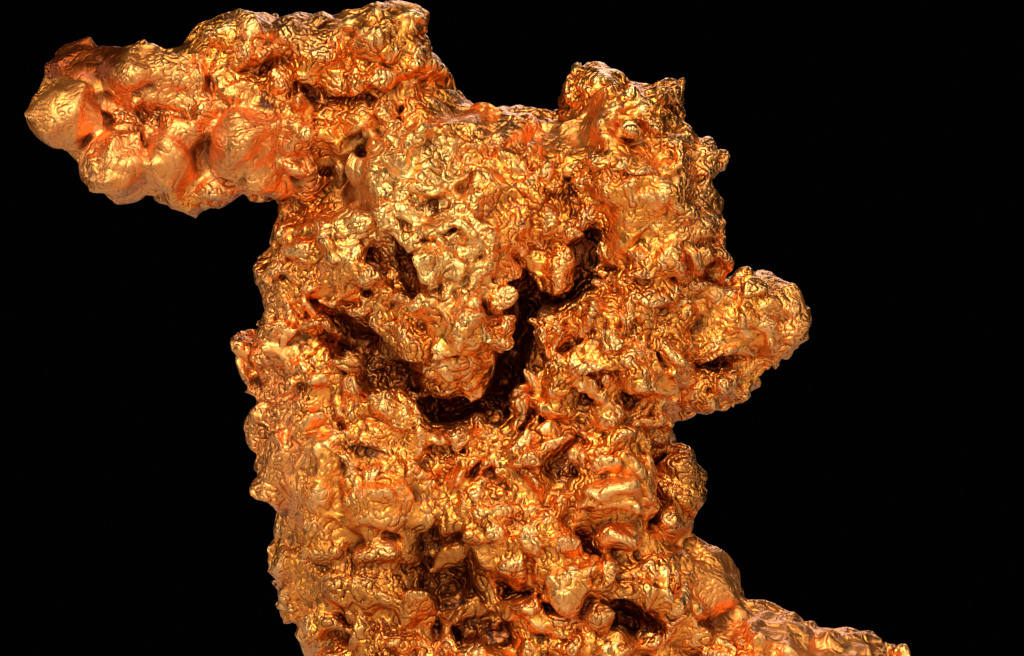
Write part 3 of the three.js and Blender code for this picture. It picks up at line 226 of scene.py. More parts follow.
# Lobes on the face: x, z, half width, half height, rise, lean in degrees
LOBES: list[Row] = [
    # left arm
    (-121, 187, 9, 8, 2.5, 0),
    (-117, 193, 5, 3, 1.5, 0),
    (-98, 200, 12, 6.5, 3, 0),
    (-105, 199, 6, 5, 1.5, 0),
    (-90, 197, 6, 6, 2, 0),
    (-105, 174.5, 9.5, 10, 4, 0),
    (-92, 174, 7.5, 9, 4, 0),
    (-88, 181, 6, 4, 2, -20),
    (-84, 183, 3, 3, 2.5, 0),
    (-83, 190, 4, 4, 1.5, 0),
    (-71, 180, 8, 10, 4, -15),
    (-66, 172, 6, 6, 3, 0),
    (-56, 180, 5, 6, 3, 0),
    (-57, 173, 5, 2.2, 2, -30),
    (-70, 193, 5, 5, 2.5, 0),
    (-83, 198, 2.5, 3, 2, 0),
    (-83, 203.5, 2.5, 2.5, 1.5, 0),
    (-68, 211, 4, 3.5, 2.5, 0),
    (-75, 210, 4, 4, 1.5, 0),
    (-57, 209, 5, 4.5, 2, 0),
    (-63, 205, 5, 2, 1.5, 0),
    (-60, 197, 4, 3, 2, 0),
    (-52, 198, 4, 3, 1.5, 0),
    (-56, 190, 6, 2, 1.5, -10),
    (-48, 205, 4, 5, 1.5, 10),
    # crown
    (-24, 214, 4.5, 4.5, 3, 0),
    (-38, 213, 5, 4, 2, 0),
    (-32, 215, 4, 3, 1.5, 0),
    (-34, 207, 5.5, 5, 3, 0),
    (-36, 198, 4.5, 4.5, 3, 0),
    (-30, 198, 3.5, 4, 2.5, 0),
    (-24, 202, 4, 4.5, 2.5, 0),
    (-19, 199, 3.5, 3.5, 2, 0),
    (-43, 209, 4, 5, 1.5, -15),
    (-45, 197, 3, 4, 2, 0),
    (-3, 188.5, 4.5, 2.8, 2, 0),
    (-15, 189, 3, 4, 1.5, 20),
    # upper trunk
    (-44, 172, 3, 11, 2.5, 3),
    (-38, 184, 5, 3, 2, -20),
    (-33.5, 183.5, 3.2, 6, 2, 0),
    (-29, 187, 4, 3.5, 2, 0),
    (-36, 173, 5, 4, 2, 10),
    (-34, 168, 3, 5, 1.5, 0),
    (-27, 172, 3, 3, 2, 0),
    (-27, 157, 9, 2.6, 3, -43),
    (-22, 152, 3, 4, 2.5, 0),
    (-16, 155.5, 4.5, 2.6, 3, -5),
    (-18, 165, 4, 3, 2, -15),
    (-10, 170, 3, 3, 2, 0),
    (-5, 177, 3, 3, 1.5, 0),
    (3, 176, 3, 2.5, 1.5, 0),
    (2, 181, 3, 3, 1.5, 0),
    (-12, 178, 5, 2, 1.5, -10),
    (-20, 179, 5, 2, 1.5, 10),
    (-5, 161, 5, 4.5, 2.5, 0),
    (-3, 168, 4, 2.5, 1.5, 0),
    (-9, 153, 3, 3, 2, 0),
    (-2, 152, 3, 3, 2, 0),
    (6, 150, 3.5, 2.5, 2, 0),
    (6.5, 157, 3, 3, 1.5, 0),
    (15, 158, 4, 3, 1.5, 0),
    (-38, 156, 6, 5, 3, 0),
    (-46, 153, 4, 4, 2, 0),
    (-35, 143, 5, 3, 2.5, -20),
    (-30, 138, 6, 6, 3, 0),
    (-37, 134, 3.5, 3, 2, 0),
    (-44, 136, 4, 4, 2, 0),
    (-50, 140, 4, 5, 2, 0),
    (-53, 149, 6, 3.5, 2, 0),
    (-57, 155, 4, 4, 1.5, 0),
    (-58, 145, 4, 4, 1.5, 0),
    (-17, 145, 4, 6.5, 3.5, 0),
    (-11.5, 147, 2.6, 5.5, 2.5, 25),
    (-18, 134, 4.5, 5, 3, 0),
    (-5, 144, 4, 2.5, 1.5, 0),
    (-3, 147, 2, 2, 1.5, 0),
    (4, 144, 3, 4, 2, 0),
    (10, 146, 4, 4, 2, 0),
    # masses hanging over the cave
    (-22, 124.5, 7, 5.5, 5, -10),
    (-6, 127, 5.5, 6.5, 5, 0),
    (2, 127.5, 3.2, 6, 4.5, 0),
    (0, 138, 5, 3.5, 3, -10),
    (-10, 117, 6, 4, 4, 5),
    (-14, 122, 3, 3, 2, 0),
    (-17, 115, 3, 3, 2, 0),
    (-7, 135, 4, 4, 2.5, 0),
    # left flank
    (-58, 127, 7, 3, 2.5, -8),
    (-50, 127, 7, 2.5, 2, -12),
    (-55, 123, 8, 2.5, 2, 0),
    (-40, 118, 4, 3.5, 3, -30),
    (-66, 118, 4, 4, 2, 0),
    (-66, 111, 4, 4, 2, 0),
    (-55, 115, 5, 5, 2, 0),
    (-47, 113, 5, 4, 2, 0),
    (-38, 110, 4, 3, 2, -30),
    (-29, 106, 3, 4, 2, 0),
    (-26, 103, 3, 3.5, 2, 0),
    (-21.5, 101, 1.8, 5, 2.5, 15),
    (-12, 97.5, 8, 2, 3, 4),
    (-9, 96, 4, 3, 1.5, 0),
    (-47, 92, 6, 4, 1.5, -10),
    (-38, 90, 6, 3, 2, -10),
    (-58, 95, 7, 8, 1.5, 0),
    (-60, 84, 5, 6, 1.5, 0),
    # shell shaped swelling low on the left
    (-31, 82, 8, 5.5, 4, -8),
    (-30, 76, 9, 5, 4, 5),
    (-33, 71, 5, 4, 2.5, 0),
    (-30, 65.5, 10, 3, 3.5, 6),
    (-24, 70, 4, 4, 2.5, 40),
    (-20, 76, 4, 3, 2, 20),
    (-48, 71, 6, 5, 2, 0),
    (-47, 65, 6, 3, 2.5, -5),
    (-44, 57, 5, 4, 2, 0),
    (-34, 57, 5, 4, 2, -10),
    (-57, 62, 5, 5, 2, 0),
    (-57, 53, 4, 4, 1.5, 0),
    (-47, 46, 7, 5, 2.5, -20),
    (-22, 50, 6.5, 6, 3, 0),
    (-30, 53, 4, 3, 1.5, 0),
    (-38, 46, 5, 5, 2, 0),
    (-35, 40, 5, 4, 2, 0),
    (-23, 39, 5, 3.5, 2, 0),
    (-9, 48, 7, 2.4, 2.5, 38),
    (-14, 41, 4, 3, 2, 30),
    # below the cave
    (-9, 90.5, 7, 3.5, 2.5, 0),
    (-10, 85, 4, 4, 2.5, 0),
    (-15, 90, 3, 3, 1.5, 0),
    (-22, 88, 4, 3, 2, -30),
    (-18, 82, 3, 3, 1.5, 0),
    (-3, 83, 4, 4, 2, 0),
    (3, 88, 3, 4, 2, 0),
    (0, 77, 5, 3, 2, 0),
    (1, 71, 2.6, 2.6, 2.5, 0),
    (-5, 69, 3, 3, 1.5, 0),
    (3, 63, 4, 3.5, 2.5, 0),
    (6, 67, 3, 3, 1.5, 0),
    (-12, 65, 4, 3, 1.5, 20),
    # right shoulder
    (45, 191, 6.5, 5.5, 2, 0),
    (40, 189, 3.5, 4, 2, 0),
    (31, 190, 4, 7, 1, -25),
    (31.5, 184, 1.3, 5, 1.5, -5),
    (34, 185, 1.3, 5, 1.5, -8),
    (38, 181, 2, 2, 1.5, 0),
    (43, 183, 1.8, 1.8, 1.5, 0),
    (50, 180, 4, 4, 2, 0),
    (54, 181, 2.5, 4.5, 2.5, 0),
    (57.5, 173, 4.2, 5.5, 3, -5),
    (51, 173, 3.5, 4, 2, 0),
    (39.5, 172.8, 6.2, 2.2, 3, -22),
    (30, 173, 4, 3, 2, 0),
    (42, 164, 8.5, 6.5, 4, -5),
    (33, 166, 4, 4, 2, 0),
    (58, 163, 5, 5, 3, 0),
    (52, 160, 4, 4, 2, 0),
    (57, 155, 5, 4, 2.5, 0),
    (61, 157, 3.5, 4, 2, 0),
    (62.5, 150, 2.2, 4.5, 2, 0),
    (55, 148, 4, 4, 2, 0),
    (48, 147, 5, 4.5, 2.5, 0),
    (42, 147, 4, 4, 2, 0),
    (46, 141, 5, 2, 2, -5),
    (55, 139, 5, 2.5, 2, -10),
    (60.5, 142, 3.5, 4, 2, 0),
    (19, 178, 5, 3, 1.5, 20),
    (22, 172, 4, 4, 1.5, 0),
    (15, 171, 4, 4, 2, 0),
    (11, 177, 2.5, 4, 1.5, 0),
    (17, 167, 5, 3, 1.5, 0),
    (26, 168, 3, 3, 1.5, 0),
    (27, 160, 3, 3, 2, 0),
    (25, 157.5, 2.5, 2.5, 1.5, 0),
    (20, 154, 4, 4, 1.5, 0),
    (17, 145, 4.5, 6, 4, 8),
    (32, 148, 4, 3, 1.5, 0),
    # right arm
    (63, 135, 3.8, 3.8, 2.5, 0),
    (72, 136, 5, 5, 2, 0),
    (70, 128, 4, 4, 1.5, 0),
    (83, 131, 5.5, 8, 2, 0),
    (76, 128, 5, 5, 1.5, 0),
    (60, 124, 5, 4, 1.5, 0),
    (74, 119, 5, 3, 1.5, 20),
    (62, 121.5, 7, 1.8, 2, 3),
    (63, 112, 8, 3, 2, 10),
    (67, 108, 5, 3.5, 2, 20),
    (58, 107, 5, 3, 1.5, 0),
    # between the cleft and the right arm
    (41, 136, 6.5, 4.5, 4, 0),
    (36.5, 139.5, 2.2, 2.2, 2.5, 0),
    (38, 131, 5, 2, 1.5, 0),
    (27, 131.5, 4.5, 3.5, 2.5, 0),
    (50, 134, 4, 3, 2, 0),
    (14, 127, 2.6, 7, 2.5, 0),
    (20, 126, 5, 6, 2, 0),
    (20, 118, 6, 5, 2.5, -10),
    (17, 111, 4.5, 4, 3, 0),
    (27, 117, 5, 3, 2, 0),
    (27, 112, 4, 3, 2, 0),
    (33, 124, 4, 3, 2, 10),
    (48, 121, 6.5, 2.4, 2.5, -40),
    (39, 119, 5, 2, 2, 25),
    (40, 115, 3.8, 4, 3, 0),
    (51, 117, 4, 3.5, 2, 0),
    (47, 112, 3, 3, 1.5, 0),
    (18, 104, 6.5, 2.4, 3, -8),
    (18, 107.5, 4, 1.6, 2, -5),
    (15, 98.5, 3, 2.6, 2, 0),
    (21, 98.5, 4, 2.5, 2, 0),
    (32, 104, 4, 4, 2.5, 0),
    (30, 108.5, 3, 2, 1.5, 0),
    (27, 97.5, 6, 1.4, 2, 12),
    (35, 98, 3.5, 3.5, 2.5, 0),
    (44, 103, 5, 3, 1.5, 25),
    (46, 97, 4, 4, 1.5, 0),
    (41, 94, 4, 3, 1.5, 0),
    (7, 104, 3, 7, 2, 0),
    (7, 96, 3, 5, 2, -20),
    # lower right
    (9, 91, 4.5, 2.2, 3, 50),
    (16, 94.7, 5, 2, 3, 10),
    (24, 91, 4, 3, 3, -15),
    (31.5, 89, 4, 3.8, 3, 0),
    (31, 94, 5, 2.5, 2, 0),
    (38, 88, 3.5, 4, 2, 0),
    (32, 82.5, 8.5, 2.4, 3.5, 2),
    (33, 78.5, 9.5, 2.6, 3, 3),
    (42, 85, 3, 7.5, 2.5, 0),
    (42.5, 77, 3.2, 4, 3, 0),
    (34, 69, 7, 3, 3.5, 8),
    (40, 70, 3, 3, 1.5, 20),
    (10, 84, 4, 4, 2, 0),
    (8, 79, 4, 3, 2, 0),
    (13, 73, 6, 4.5, 3, -10),
    (12, 67, 5, 4, 2.5, 0),
    (18, 68, 4, 4, 2, 0),
    (18, 78, 4, 4, 2, 0),
    (22, 57, 6, 6.5, 3.5, -10),
    (26, 61, 4, 3, 2, -40),
    (31, 58, 4, 6, 3, -25),
    (43, 61, 7, 4, 3.5, 0),
    (43, 55, 7, 4.5, 4, -10),
    (46, 51.5, 5, 1.8, 3, 0),
    (50, 56, 3, 5, 2, 0),
    (8, 51, 6, 5, 3, 0),
    (14, 45, 6, 4, 2.5, 0),
    (28, 47, 3.2, 2.8, 3, 0),
    (32, 38, 6.5, 5, 3.5, 0),
    (22, 40, 5, 4, 2, 0),
    (10, 38, 5, 4, 2, 0),
    (55, 42, 5.5, 5, 3.5, 0),
    (62.5, 39, 3.2, 4.5, 2.5, 0),
    (74, 40, 4, 3, 2, 0),
    (82, 37, 4, 2.5, 2, -20),
    (43, 41, 4, 4, 1.5, 0),
    (50, 47, 3, 2, 2, 10),
]


@dataclass(frozen=True)
class Ellipsoid:
    """A turned ellipsoid that knows its signed distance.

    Attributes:
        centre: Middle of the shape.
        half: Half sizes along its own three axes.
        turn: Rows are its own axes in the nugget's frame.
    """

    centre: np.ndarray
    half: np.ndarray
    turn: np.ndarray

    @classmethod
    def leaning(cls, row: Row) -> "Ellipsoid":
        """Makes an ellipsoid from a table row that leans about the Y axis.

        Args:
            row: Middle x, y, z, half width, half depth, half height and lean.

        Returns:
            The ellipsoid.
        """
        angle = math.radians(row[6])
        cos, sin = math.cos(angle), math.sin(angle)
        turn = np.array([[cos, 0.0, sin], [0.0, 1.0, 0.0], [-sin, 0.0, cos]])
        return cls(np.array(row[:3]), np.array(row[3:6]), turn)

    @property
    def reach(self) -> float:
        """Largest half size."""
        return float(self.half.max())

    def distance(self, x: np.ndarray, y: np.ndarray, z: np.ndarray) -> np.ndarray:
        """Signed distance, negative inside.

        Args:
            x: Positions along X, in a shape that broadcasts with the others.
            y: Positions along Y.
            z: Positions along Z.

        Returns:
            Distances in the broadcast shape.
        """
        offset = (x - self.centre[0], y - self.centre[1], z - self.centre[2])
        near = 0.0
        steep = 0.0
        for axis in range(3):
            line = sum(offset[other] * self.turn[axis, other] for other in range(3))
            scaled = (line / self.half[axis]) ** 2
            near = near + scaled
            steep = steep + scaled / self.half[axis] ** 2
        near = np.sqrt(near)
        return near * (near - 1.0) / (np.sqrt(steep) + TINY)


def blended_minimum(first: np.ndarray, second: np.ndarray, width: float) -> np.ndarray:
    """Melts two distances into one.

    Args:
        first: Distances to one shape.
        second: Distances to the other.
        width: How far the two melt into each other.

    Returns:
        The joined distances.
    """
    overlap = np.maximum(width - np.abs(first - second), 0.0) / width
    return np.minimum(first, second) - overlap * overlap * (width / 4.0)


class DistanceField:
    """A box of evenly spaced distances, negative inside the metal."""

    # Places are kept this many samples short of the end, so that each has a next sample
    END = 1.001
    # Points have arrived, and rays are followed, to within this share of a step
    CLOSE = 0.25
    # Squared slopes below this one are taken as this one while points settle
    LEAST_SLOPE = 0.05

    def __init__(self, low: Row, step: float, values: np.ndarray) -> None:
        """Wraps an array of distances.

        Args:
            low: Position of the first sample.
            step: Spacing of the samples.
            values: Distances at the samples.
        """
        self.low = np.array(low)
        self.step = step
        self.values = values

    @classmethod
    def empty(cls, low: Row, high: Row, step: float) -> "DistanceField":
        """Makes a field that is far outside everywhere.

        Args:
            low: Lowest corner of the box.
            high: Highest corner of the box.
            step: Spacing of the samples.

        Returns:
            The field.
        """
        counts = [math.ceil((top - bottom) / step) + 1 for bottom, top in zip(low, high)]
        return cls(low, step, np.full(counts, FAR, dtype=np.float32))

    def line(self, axis: int, first: int, last: int) -> np.ndarray:
        """Positions of some samples along one axis, shaped to broadcast.

        Args:
            axis: The axis, 0 to 2.
            first: First sample.
            last: One past the last sample.

        Returns:
            The positions.
        """
        shape = [1, 1, 1]
        shape[axis] = last - first
        places = self.low[axis] + self.step * np.arange(first, last)
        return places.astype(np.float32).reshape(shape)

    def window(self, shape: Ellipsoid, margin: float) -> tuple[tuple[slice, ...], list[np.ndarray]]:
        """The part of the box that a shape reaches.

        Args:
            shape: The shape.
            margin: Extra reach around it.

        Returns:
            The slices into the values and the positions along each axis.
        """
        slices = []
        lines = []
        for axis, count in enumerate(self.values.shape):
            middle = shape.centre[axis] - self.low[axis]
            first = max(math.floor((middle - shape.reach - margin) / self.step), 0)
            last = min(math.ceil((middle + shape.reach + margin) / self.step) + 1, count)
            slices.append(slice(first, max(last, first)))
            lines.append(self.line(axis, first, max(last, first)))
        return tuple(slices), lines

    def unite(self, shape: Ellipsoid, blend: float, margin: float) -> None:
        """Adds a shape to the metal.

        Args:
            shape: The shape.
            blend: How far it melts in.
            margin: How far around it the distances are kept true.
        """
        part, lines = self.window(shape, margin)
        self.values[part] = blended_minimum(self.values[part], shape.distance(*lines), blend)

    def cut(self, shape: Ellipsoid, blend: float, margin: float) -> None:
        """Takes a shape out of the metal.

        Args:
            shape: The shape.
            blend: How softly its rim rounds over.
            margin: How far around it the distances are kept true.
        """
        part, lines = self.window(shape, margin)
        self.values[part] = -blended_minimum(-self.values[part], shape.distance(*lines), blend)

    def at(self, points: np.ndarray) -> np.ndarray:
        """Distances at any points, read between the samples.

        Args:
            points: Positions, one per row.

        Returns:
            One distance per point.
        """
        top = np.array(self.values.shape) - self.END
        place = np.clip((points - self.low) / self.step, 0.0, top)
        cell = place.astype(np.int64)
        part = place - cell
        total = np.zeros(len(points))
        for corner in range(8):
            pick = np.array([corner & 1, corner >> 1 & 1, corner >> 2 & 1])
            weight = np.where(pick, part, 1.0 - part).prod(axis=1)
            total += weight * self.values[tuple((cell + pick).T)]
        return total

    def gradient(self, points: np.ndarray) -> np.ndarray:
        """Uphill direction of the distance at any points.

        Args:
            points: Positions, one per row.

        Returns:
            One vector per point.
        """
        span = self.step / 2.0
        slopes = [
            (self.at(points + span * unit) - self.at(points - span * unit)) / (2.0 * span)
            for unit in np.eye(3)
        ]
        return np.stack(slopes, axis=1)

    def settle(self, points: np.ndarray, rounds: int = 5) -> tuple[np.ndarray, np.ndarray]:
        """Moves points onto the surface.

        Args:
            points: Positions, one per row.
            rounds: How many times they are moved.

        Returns:
            The moved points and whether each one arrived.
        """
        for _ in range(rounds):
            slope = self.gradient(points)
            length = np.maximum((slope**2).sum(axis=1), self.LEAST_SLOPE)
            points = points - (self.at(points) / length)[:, None] * slope
        return points, np.abs(self.at(points)) < self.step * self.CLOSE

    def face_depth(self, x: float, z: float) -> float:
        """Depth of the face at x, z, or of the nearest metal when the ray misses.

        Args:
            x: Position along X.
            z: Position along Z.

        Returns:
            The depth along Y.
        """
        depths = np.arange(
            self.low[1], self.low[1] + self.values.shape[1] * self.step, self.step * self.CLOSE
        )
        ray = np.column_stack([np.full_like(depths, x), depths, np.full_like(depths, z)])
        distances = self.at(ray)
        inside = np.flatnonzero(distances < 0.0)
        return float(depths[inside[0] if len(inside) else int(distances.argmin())])

    def solidity(self, passes: int, half: int) -> "DistanceField":
        """How much of the near surroundings is metal, sampled half as finely.

        Args:
            passes: How many times the shares are averaged.
            half: Samples on either side that each average takes in.

        Returns:
            Shares from 0 to 1: 0.5 on a plane, more in hollows, less on crests.
        """
        step = self.step * 2.0
        share = np.clip(0.5 - self.values[::2, ::2, ::2] / step, 0.0, 1.0)
        for axis in [0, 1, 2] * passes:
            line = np.moveaxis(share, axis, 0)
            padded = np.concatenate([np.zeros_like(line[:1]), np.cumsum(line, axis=0)])
            first = np.clip(np.arange(len(line)) - half, 0, len(line))
            last = np.clip(np.arange(len(line)) + half + 1, 0, len(line))
            share = np.moveaxis((padded[last] - padded[first]) / (2 * half + 1), 0, axis)
        return DistanceField(tuple(self.low), step, share)

    def refined(self, factor: int) -> "DistanceField":
        """The same field with more samples, joined by smooth curves.

        Args:
            factor: How many new steps fit in an old one.

        Returns:
            The finer field.
        """
        values = self.values
        for axis, count in enumerate(values.shape):
            place = np.arange((count - 1) * factor + 1) / factor
            cell = np.minimum(place.astype(np.int64), count - 2)
            part = (place - cell).astype(np.float32)
            # Catmull-Rom weights of the four samples around each place
            curves = (
                (-1, 0.5 * (-(part**3) + 2.0 * part**2 - part)),
                (0, 0.5 * (3.0 * part**3 - 5.0 * part**2 + 2.0)),
                (1, 0.5 * (-3.0 * part**3 + 4.0 * part**2 + part)),
                (2, 0.5 * (part**3 - part**2)),
            )
            shape = [1, 1, 1]
            shape[axis] = len(place)
            total = 0.0
            for offset, curve in curves:
                column = np.clip(cell + offset, 0, count - 1)
                total = total + np.take(values, column, axis=axis) * curve.reshape(shape)
            values = total
        return DistanceField(tuple(self.low), self.step / factor, values)


class NumberSource:
    """A small repeatable source of numbers from 0 to 1, the same as the solid's."""

    # Each state is the one before times a number plus another, within this many states
    TIMES = 1664525
    PLUS = 1013904223
    STATES = 2**32

    def __init__(self, seed: int) -> None:
        """Starts the source.

        Args:
            seed: The first state.
        """
        self.state = seed

    def rows(self, count: int, width: int) -> np.ndarray:
        """Draws a table of numbers.

        Args:
            count: Number of rows.
            width: Numbers in each row.

        Returns:
            The table.
        """
        drawn = np.empty(count * width)
        for index in range(count * width):
            self.state = (self.state * self.TIMES + self.PLUS) % self.STATES
            drawn[index] = self.state / self.STATES
        return drawn.reshape(count, width)


@dataclass(frozen=True)
class Packing:
    """How ellipsoids of several sizes are packed over free skin.

    Attributes:
        sizes: Pairs of radius and number of tries.
        least: Smallest share of the radius that sinks into the metal.
        spread: How much more may sink.
        edge: How much more sinks on the outline.
        spacing: Least distance, as a share of the two radii.
        reach: How far from the surface a try may start, in radii.
        least_size: Smallest half size, in radii.
        size_spread: How much larger a half size may be, in radii.
    """

    sizes: tuple[tuple[float, int], ...]
    least: float
    spread: float
    edge: float
    spacing: float = 0.62
    reach: float = 3.0
    least_size: float = 0.75
    size_spread: float = 0.35

    def place(
        self, base: DistanceField, source: NumberSource, placed: list[Ellipsoid]
    ) -> list[Ellipsoid]:
        """Packs ellipsoids wherever the placed ones leave room.

        Args:
            base: Field whose surface carries them.
            source: Where the numbers come from.
            placed: Shapes that are already there.

        Returns:
            The new shapes.
        """
        centres = [shape.centre for shape in placed]
        reaches = [shape.reach for shape in placed]
        found = []
        span = (np.array(base.values.shape) - 1) * base.step
        for radius, tries in self.sizes:
            draws = source.rows(tries, 7)
            starts = base.low + draws[:, :3] * span
            near = np.abs(base.at(starts)) < self.reach * radius
            places, arrived = base.settle(starts)
            slopes = base.gradient(places)
            for index in np.flatnonzero(near & arrived):
                apart = np.linalg.norm(np.array(centres) - places[index], axis=1)
                if (apart < self.spacing * (np.array(reaches) + radius)).any():
                    continue
                draw = draws[index]
                edge = 1.0 - min(abs(slopes[index][1]), 1.0)
                sink = self.least + self.spread * draw[6] + self.edge * edge
                middle = places[index] - slopes[index] * radius * sink
                half = radius * (self.least_size + self.size_spread * draw[3:6])
                shape = Ellipsoid.leaning((*middle, *half, 360.0 * draw[6]))
                found.append(shape)
                centres.append(shape.centre)
                reaches.append(shape.reach)
        return found


class Relief(Enum):
    """Whether a small feature stands out of the skin or is sunk into it."""

    RAISED = "raised"
    SUNK = "sunk"


@dataclass(frozen=True)
class SkinFeature:
    """One family of small features strewn over the whole skin.

    Attributes:
        relief: Raised or sunk.
        count: How many there are.
        radius: Smallest and largest half size.
        stretch: Smallest and largest ratio of length to width.
        rise: Smallest and largest share of the thickness that shows.
        blend: How far each one melts into the skin.
        margin: How far around each one the distances are kept true.
        free_layers: Layers of samples at the bottom that stay free of them.
    """

    relief: Relief
    count: int
    radius: Range
    stretch: Range
    rise: Range
    blend: float
    margin: float = 1.5
    free_layers: int = 3

    def strew(
        self,
        skin: DistanceField,
        random: np.random.Generator,
        crowding: Callable[[np.ndarray], np.ndarray],
    ) -> None:
        """Strews the features over a field.

        Args:
            skin: The field that gets them.
            random: Seeded source of choices.
            crowding: Gives the share of features that points keep.
        """
        near = np.abs(skin.values[:, :, self.free_layers :]) < skin.step * 0.5
        crossing = np.argwhere(near)
        crossing[:, 2] += self.free_layers
        chosen = crossing[random.choice(len(crossing), self.count, replace=False)]
        points = skin.low + chosen * skin.step
        normals = skin.gradient(points)
        normals /= np.linalg.norm(normals, axis=1, keepdims=True) + TINY
        points -= normals * skin.at(points)[:, None]
        along = np.cross(normals, random.normal(size=points.shape))
        along /= np.linalg.norm(along, axis=1, keepdims=True) + TINY
        across = np.cross(normals, along)
        width = random.uniform(*self.radius, self.count)
        length = width * random.uniform(*self.stretch, self.count)
        shown = random.uniform(*self.rise, self.count)
        apply = skin.unite if self.relief is Relief.RAISED else skin.cut
        side = 1.0 if self.relief is Relief.RAISED else -1.0
        kept = random.uniform(size=self.count) < crowding(points)
        for index in np.flatnonzero(kept):
            point = points[index]
            half = np.array([length[index], width[index], width[index]])
            centre = point - side * normals[index] * width[index] * (1.0 - shown[index])
            turn = np.stack([along[index], across[index], normals[index]])
            apply(Ellipsoid(centre, half, turn), self.blend, self.margin)


class TiledNoise:
    """A cube of numbers that repeats without a seam and is read at a tilt."""

    # Numbers along each side
    TILE = 120

    def __init__(self, step: float, values: np.ndarray, random: np.random.Generator) -> None:
        """Keeps the tile with a mean of 0 and a spread of 1.

        Args:
            step: Spacing of the numbers in millimetres.
            values: The numbers.
            random: Seeded source of the tilt.
        """
        self.step = step
        self.values = ((values - values.mean()) / values.std()).astype(np.float32)
        self.turn = np.linalg.qr(random.normal(size=(3, 3)))[0].astype(np.float32)

    def at(self, points: np.ndarray) -> np.ndarray:
        """Reads the tile at any points.

        Args:
            points: Positions, one per row.

        Returns:
            One value per point.
        """
        place = (self.turn.T @ points.T.astype(np.float32)) / self.step
        cell = np.floor(place)
        part = place - cell
        ends = (cell.astype(np.int32) % self.TILE, (cell.astype(np.int32) + 1) % self.TILE)
        total = np.zeros(len(points), dtype=np.float32)
        for corner in range(8):
            pick = (corner & 1, corner >> 1 & 1, corner >> 2 & 1)
            weight = 1.0
            index = 0
            for axis in range(3):
                weight = weight * (part[axis] if pick[axis] else 1.0 - part[axis])
                index = index * self.TILE + ends[pick[axis]][axis]
            total += weight * self.values.take(index)
        return total


class WaveNoise(TiledNoise):
    """Smooth noise with one wavelength and no preferred direction."""

    SAMPLES_PER_WAVE = 12.0

    def __init__(self, wavelength: float, random: np.random.Generator, band: float = 0.3) -> None:
        """Draws the tile.

        Args:
            wavelength: Distance from one crest to the next in millimetres.
            random: Seeded source of the numbers.
            band: Spread of the wavelengths, as a share.
        """
        across = np.fft.fftfreq(self.TILE)
        along = np.fft.rfftfreq(self.TILE)
        rate = np.sqrt(
            across[:, None, None] ** 2 + across[None, :, None] ** 2 + along[None, None, :] ** 2
        )
        pitch = 1.0 / self.SAMPLES_PER_WAVE
        strength = np.exp(-(((rate - pitch) / (band * pitch)) ** 2))
        spectrum = np.fft.rfftn(random.normal(size=(self.TILE,) * 3)) * strength
        values = np.fft.irfftn(spectrum, s=(self.TILE,) * 3)
        super().__init__(wavelength / self.SAMPLES_PER_WAVE, values, random)


class BeadNoise(TiledNoise):
    """Round backs of many sizes side by side, which meet in sharp creases."""

    SAMPLES_PER_BEAD = 10
    # In cells: least distance of a middle from its cell's walls, and reach of a bead
    WALL = 0.05
    REACH = (0.7, 1.4)
    # Larger than any squared distance to the nearest bead
    UNREACHED = 9.0

    def __init__(self, size: float, random: np.random.Generator) -> None:
        """Draws the tile.

        Args:
            size: Usual distance between the middles of two beads in millimetres.
            random: Seeded source of the numbers.
        """
        per_bead = self.SAMPLES_PER_BEAD
        beads = self.TILE // per_bead
        middles = random.uniform(self.WALL, 1.0 - self.WALL, size=(beads, beads, beads, 3))
        reaches = random.uniform(*self.REACH, size=(beads, beads, beads))
        shape = (beads, per_bead) * 3
        inner = (np.arange(per_bead) + 0.5) / per_bead
        nearest = np.full(shape, self.UNREACHED, dtype=np.float32)
        for shift in np.ndindex(3, 3, 3):
            step = tuple(1 - one for one in shift)
            middle = np.roll(middles, step, axis=(0, 1, 2)) - step
            reach = np.roll(reaches, step, axis=(0, 1, 2))
            far = 0.0
            for axis in range(3):
                line = [1] * 6
                line[2 * axis + 1] = per_bead
                along = inner.reshape(line) - middle[:, None, :, None, :, None, axis]
                far = far + along.astype(np.float32) ** 2
            nearest = np.minimum(nearest, far / reach[:, None, :, None, :, None] ** 2)
        values = -nearest.reshape((self.TILE,) * 3)
        super().__init__(size / per_bead, np.maximum(values, -1.0), random)


